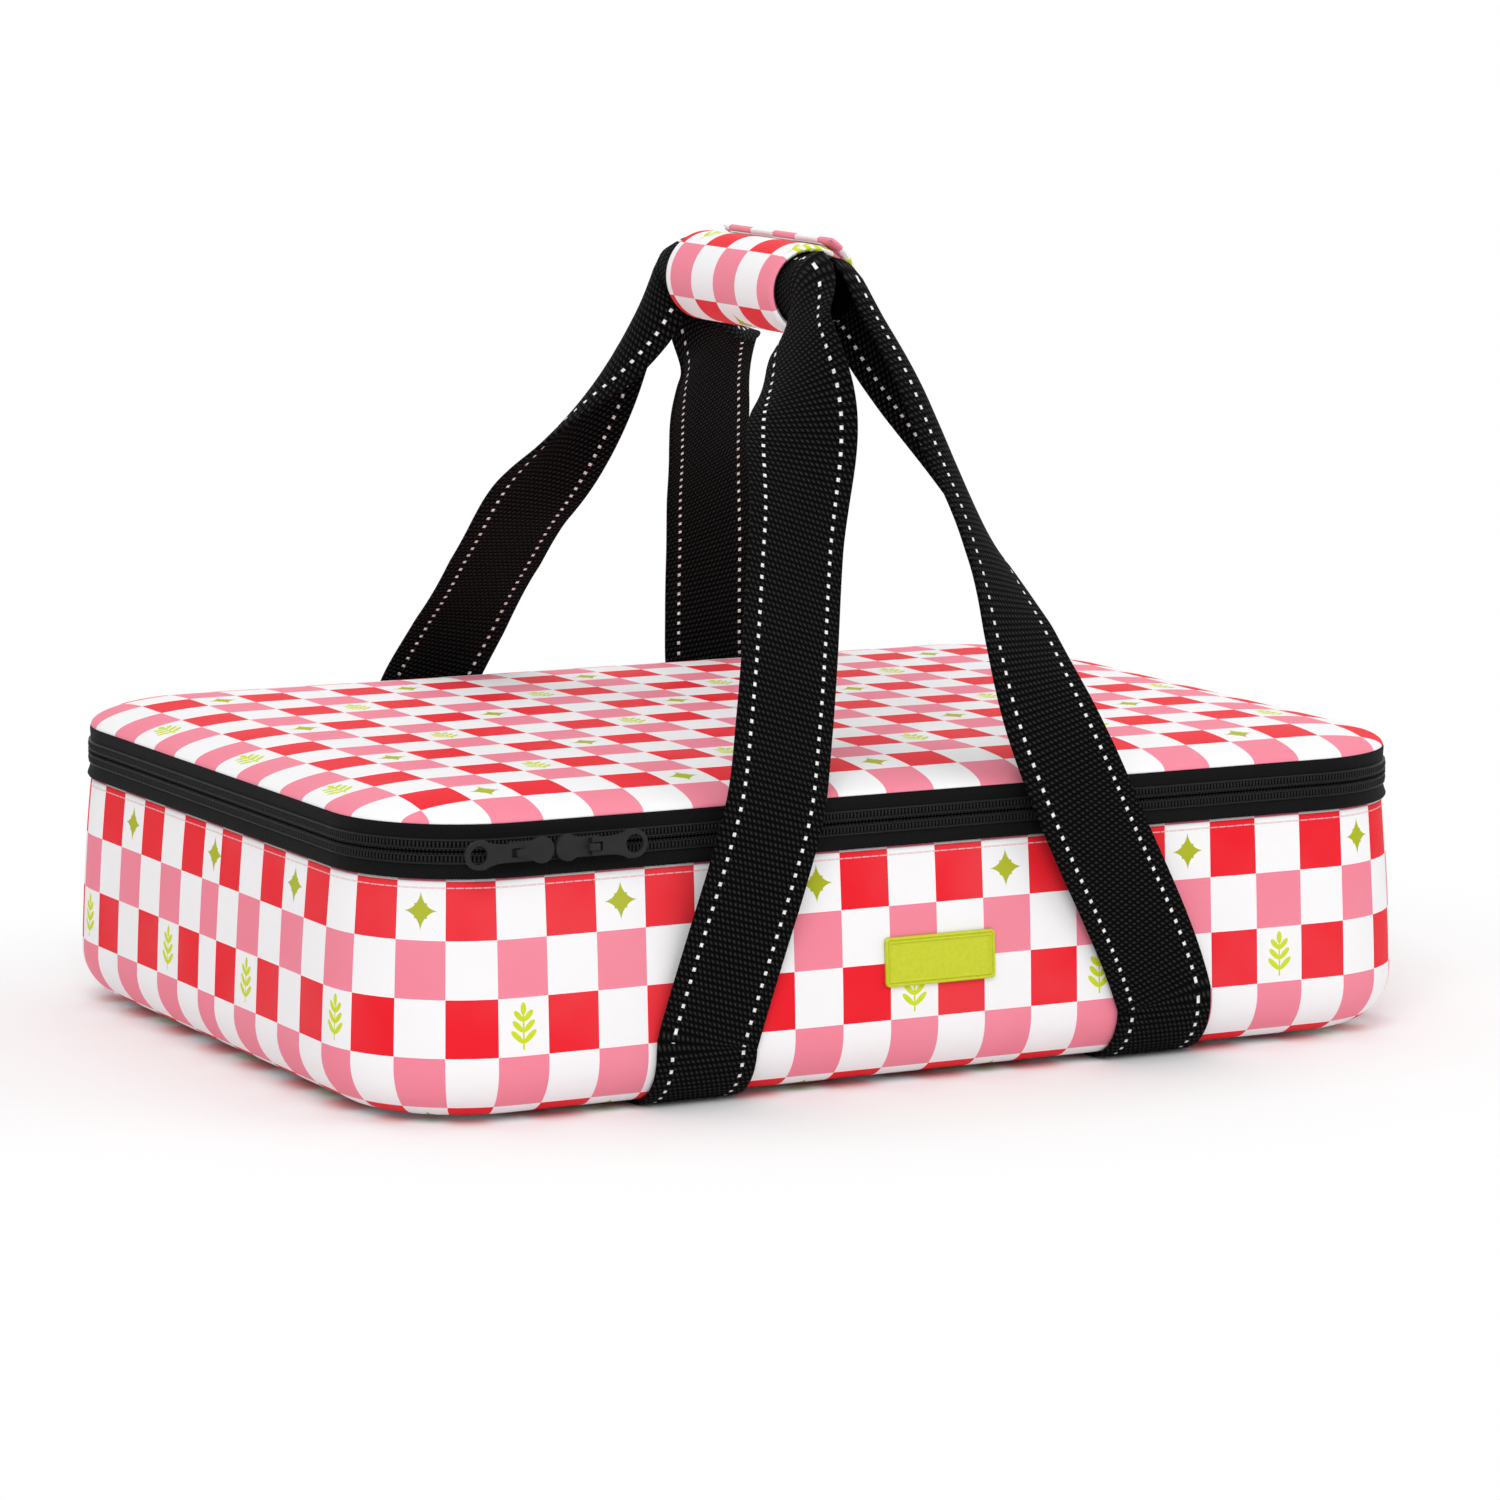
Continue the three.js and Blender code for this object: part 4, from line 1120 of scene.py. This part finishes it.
# The flap's, which leaves the round by a power of the share of its angle
def flapRadius(angle):
    start, end = np.radians(wrap["flap"])
    share = np.clip((angle - start) / (end - start), 0, None)
    return wrap["inner"] + wrap["flapRise"] * share ** wrap["leaving"]


# The loop tape's, a little more than the inner layer's upper face
def loopRadius(angle):
    return np.full(angle.shape, wrap["inner"] + wrap["padding"] + wrap["loopOff"])


# The hook tape's, a little less than the flap's
def hookRadius(angle):
    return flapRadius(angle) - wrap["hookUnder"]


# One layer of the wrap: two faces set off from its middle line by half the padding, which falls to
# nothing over a quarter round at all four edges, less a seam and plus a slight puff inside the seams
def makeWrap(w, s, name, angles, baseRadius, node, firstRow):
    steps, lengthSteps = 64, 60
    angle = np.radians(np.linspace(*angles, steps))
    half = w["padding"] / 2
    middle = baseRadius(angle) + half
    line = np.stack([middle * np.cos(angle), middle * np.sin(angle)], 1)
    tangent = np.gradient(line, axis=0)
    tangent /= np.linalg.norm(tangent, axis=1, keepdims=True)
    normal = np.stack([tangent[:, 1], -tangent[:, 0]], 1)
    normal *= np.sign(np.sum(normal * line, 1, keepdims=True))
    around = wayTo(line)
    along = np.linspace(-1, 1, lengthSteps) * w["length"] / 2
    fromSides = (w["length"] / 2 - np.abs(along))[None]
    fromEdge = np.minimum(np.minimum(around, around[-1] - around)[:, None], fromSides)
    roundness = np.sqrt(np.clip(1 - (1 - np.clip(fromEdge / half, 0, 1)) ** 2, 0.0, 1))
    seam = np.exp(-((fromEdge - w["seamFrom"]) / w["seamWidth"]) ** 2) * w["seam"]
    waves = 0.5 + 0.5 * slowWaves(around[:, None] * 3, along[None] * 2, 0, len(name))
    puff = w["puff"] * np.clip((fromEdge - w["puffFrom"]) / w["puffOver"], 0, 1) * waves

    # the points at a height off the middle line
    def placed(height):
        xz = line[:, None] + normal[:, None] * height[..., None]
        return inGrip(s, xz[..., 0], along[None], xz[..., 1]).reshape(-1, 3)

    top, bottom = placed(half * roundness - seam + puff), placed(-(half * roundness - seam * 0.3))
    points = np.concatenate([top, bottom])
    faces = plateFaces(steps, lengthSteps)
    u = np.tile(along[None] / checkSize + w["firstCheck"], (steps, 1))
    v = np.tile(around[:, None] / w["rowHeight"] + firstRow, (1, lengthSteps))
    corners = np.stack([u, v], -1).reshape(-1, 2)[faces % len(top)]
    faces, corners = turnedOut(points - points.mean(0), faces, corners)
    piece = makePiece(name, points, faces, corners, "wrap")
    if node == "grip_flap":
        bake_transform(piece)
    else:
        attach(piece, "strap_left")
    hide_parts(node)


makeWrap(wrap, strap, "grip_wrap_inner", wrap["pad"], padRadius, "grip_pad", 0.6)
makeWrap(wrap, strap, "grip_wrap_flap", wrap["flap"], flapRadius, "grip_flap", 3.9)


# Hook and loop strips on the facing sides of the two layers: thin curved plates with a pile
def makeFastener(w, s, name, radius, angles, body, node):
    angle = np.radians(np.linspace(*angles, 20))
    along = np.linspace(-1, 1, 30) * w["tapeLength"] / 2
    low, high = (
        np.stack([each * np.cos(angle), each * np.sin(angle)], 1)
        for each in (radius(angle), radius(angle) + w["tapeThickness"])
    )
    section = np.concatenate([low, high[::-1]])
    grid = inGrip(s, section[:, 0][:, None], along[None], section[:, 1][:, None])
    faces, _ = closeEnds(gridFaces(*grid.shape[:2], wrapRows=True), None, *grid.shape[:2])
    points = grid.reshape(-1, 3)
    faces, _ = turnedOut(points - points.mean(0), faces)
    settle(makePiece(name, points, faces, None, "fastener", smooth=False), body, [node])


makeFastener(wrap, strap, "loop_strip", loopRadius, (34, 66), "strap_left", "grip_loop_tape")
makeFastener(wrap, strap, "hook_strip", hookRadius, (57, 67), "grip_flap", "grip_hook_tape")
print("wrap made")

# Blank patch: a plate whose height follows the distance from its edge: rounded rim, groove, flat field
patch = {
    "width": 43,
    "height": 17,
    "corner": 1.6,
    "centreZ": 44.0,
    "standsOut": 1.15,
    "denser": (1.6, 1.35),  # powers that draw the columns and the rows to the edges
    "foot": 0.7,  # the height of the rim's edge, which rises to its top over the edge
    "rise": 0.75,
    "edge": 0.7,
    "grooveAt": 1.2,
    "grooveWidth": 0.24,
    "grooveDepth": 0.5,
    "field": (1.9, 2.3),  # where the rim falls to the field
    "fieldDepth": 0.5,
}


# A grid that is denser towards its edges, with its corners drawn in to a radius, laid on the sloping wall
def makePatch(c, p):
    across, tall = 180, 96
    a, b = np.linspace(-1, 1, across), np.linspace(-1, 1, tall)
    a, b = (np.sign(each) * (1 - (1 - np.abs(each)) ** power) for each, power in zip((a, b), p["denser"]))
    halfWidth, halfHeight, r = p["width"] / 2, p["height"] / 2, p["corner"]
    x, y = np.meshgrid(a * halfWidth, b * halfHeight)
    overX = np.maximum(np.abs(x) - (halfWidth - r), 0)
    overY = np.maximum(np.abs(y) - (halfHeight - r), 0)
    inCorner = (overX > 0) & (overY > 0)
    pull = np.where(inCorner, np.maximum(overX, overY) / np.maximum(np.hypot(overX, overY), 1e-9), 1)
    x = np.sign(x) * (np.abs(x) - overX + overX * pull)
    y = np.sign(y) * (np.abs(y) - overY + overY * pull)
    straight = np.minimum(halfWidth - np.abs(x), halfHeight - np.abs(y))
    inset = np.where(inCorner, r - np.hypot(overX * pull, overY * pull), straight)
    inset = np.clip(inset, 0, None)
    edge = np.sqrt(np.clip(1 - (1 - np.clip(inset / p["edge"], 0, 1)) ** 2, 0, 1))
    groove = p["grooveDepth"] * np.exp(-((inset - p["grooveAt"]) / p["grooveWidth"]) ** 2)
    height = p["foot"] + p["rise"] * edge - groove - p["fieldDepth"] * easeStep(inset, *p["field"])
    slope = c["flare"] / (c["bandLow"] - wallFoot)
    base = -(c["depth"] / 2 + slope * (c["bandLow"] - p["centreZ"])) - p["standsOut"] + y * slope
    layers = [np.stack([x, base - each, p["centreZ"] + y], -1).reshape(-1, 3) for each in (height, 0.05)]
    points = np.concatenate(layers)
    faces, _ = turnedOut(points - points.mean(0), plateFaces(tall, across))
    settle(makePiece("blank_patch", points, faces, None, "patch"), "case", ["label_patch"])


makePatch(case, patch)


# Gives a mesh one finish
def refinish(mesh, finish):
    mesh.materials.clear()
    mesh.materials.append(finishes[finish])


# Sliders and pulls: the built shapes with their edges rounded
def softenNode(node, name, width):
    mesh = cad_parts[node].data.copy()
    mesh.name = name
    piece = bpy.data.objects.new(name, mesh)
    bpy.context.scene.collection.objects.link(piece)
    refinish(mesh, "slider")
    weld = piece.modifiers.new("weld", "WELD")
    weld.merge_threshold = 0.00001
    bevel = piece.modifiers.new("rounded edges", "BEVEL")
    bevel.width = width * mm
    bevel.segments = 3
    bevel.limit_method = "ANGLE"
    bevel.angle_limit = radians(40)
    bevel.use_clamp_overlap = True
    mesh.polygons.foreach_set("use_smooth", np.ones(len(mesh.polygons), bool))
    settle(piece, node, [node])


for side in ("left", "right"):
    softenNode("slider_" + side, "slider_body_" + side, 0.5)
    softenNode("pull_" + side, "pull_tab_" + side, 0.3)
for node, finish in (("zip_stop_left", "slider"), ("zip_stop_right", "slider"), ("base_board", "foam")):
    refinish(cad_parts[node].data, finish)
print("patch, sliders and pulls made")

# Floor, light and background
studio = {
    "floor": -0.05,  # mm
    "size": 6000,
    "shade": tone(252, 252, 252),
    "world": 0.55,
    "whiteFrom": (0.16, 0.34),  # metres from the middle, less along the length of the case
    "lamps": {
        "key": {"place": (-1.6, -2.2, 2.4), "aim": (0, 0, 0.1), "size": (1.8, 1.8), "power": 46},
        "fill": {"place": (2.4, -1.8, 1.5), "aim": (0, 0, 0.12), "size": (2.2, 1.8), "power": 20},
        "top": {"place": (0.1, 0.6, 2.6), "aim": (0, 0, 0.1), "size": (2.4, 2.0), "power": 17},
    },
}


# One for rays that come straight from the camera, or by a reflection or through clear stuff, and 0 for others
def seenDirectly(g):
    path = g.add("ShaderNodeLightPath")
    rays = g.math("MAXIMUM", path.outputs["Is Camera Ray"], path.outputs["Is Glossy Ray"])
    return g.math("MAXIMUM", rays, path.outputs["Is Transmission Ray"])


# A pale floor that, away from the object, is plain white to the camera, as the backdrop is
def makeFloor(s):
    x, y = np.meshgrid([-0.5, 0.5], [-0.5, 0.5])
    points = np.stack([x * s["size"], y * s["size"], np.full((2, 2), s["floor"])], -1).reshape(-1, 3)
    material, g, shader = newMaterial("pale floor")
    grain = g.noise(objectPlace(g), 3.0, 2.0)
    g.put(shader.inputs["Base Color"], g.mix(grain, s["shade"], tone(248, 248, 249)))
    shader.inputs["Roughness"].default_value = 0.9
    shader.inputs["Specular IOR Level"].default_value = 0.1
    x, y, _ = g.apart(objectPlace(g))
    squares = (g.math("POWER", g.math("MULTIPLY", x, 0.75), 2.0), g.math("POWER", y, 2.0))
    away = g.math("SQRT", g.math("ADD", *squares))
    blend = g.add("ShaderNodeMixShader")
    g.put(blend.inputs[0], g.math("MULTIPLY", g.ramp(away, *s["whiteFrom"]), seenDirectly(g)))
    g.put(blend.inputs[1], shader.outputs[0])
    g.put(blend.inputs[2], g.add("ShaderNodeEmission").outputs[0])
    output = next(n for n in g.tree.nodes if n.type == "OUTPUT_MATERIAL")
    g.put(output.inputs["Surface"], blend.outputs[0])
    finishes["floor"] = material
    makePiece("floor", points, gridFaces(2, 2), None, "floor", smooth=False)


# A rectangular lamp that looks at a point
def makeLamp(name, place, aim, size, power):
    lamp = bpy.data.lights.new(name, "AREA")
    lamp.shape = "RECTANGLE"
    lamp.size, lamp.size_y = size
    lamp.energy = power
    item = bpy.data.objects.new(name, lamp)
    item.location = place
    item.rotation_euler = (Vector(aim) - Vector(place)).to_track_quat("-Z", "Y").to_euler()
    bpy.context.scene.collection.objects.link(item)


# White at strength 1 where it is seen directly, and softer as a light
def makeWorld(s):
    world = bpy.data.worlds.new("studio")
    bpy.context.scene.world = world
    world.use_nodes = True
    g = Graph(world.node_tree)
    background = next(n for n in g.tree.nodes if n.type == "BACKGROUND")
    g.put(background.inputs["Color"], (1, 1, 1, 1))
    g.put(background.inputs["Strength"], g.math("MAXIMUM", seenDirectly(g), s["world"]))


makeFloor(studio)
makeWorld(studio)
for name, lamp in studio["lamps"].items():
    makeLamp(name, **lamp)
bpy.context.scene.view_settings.view_transform = "Standard"
print("studio lit")
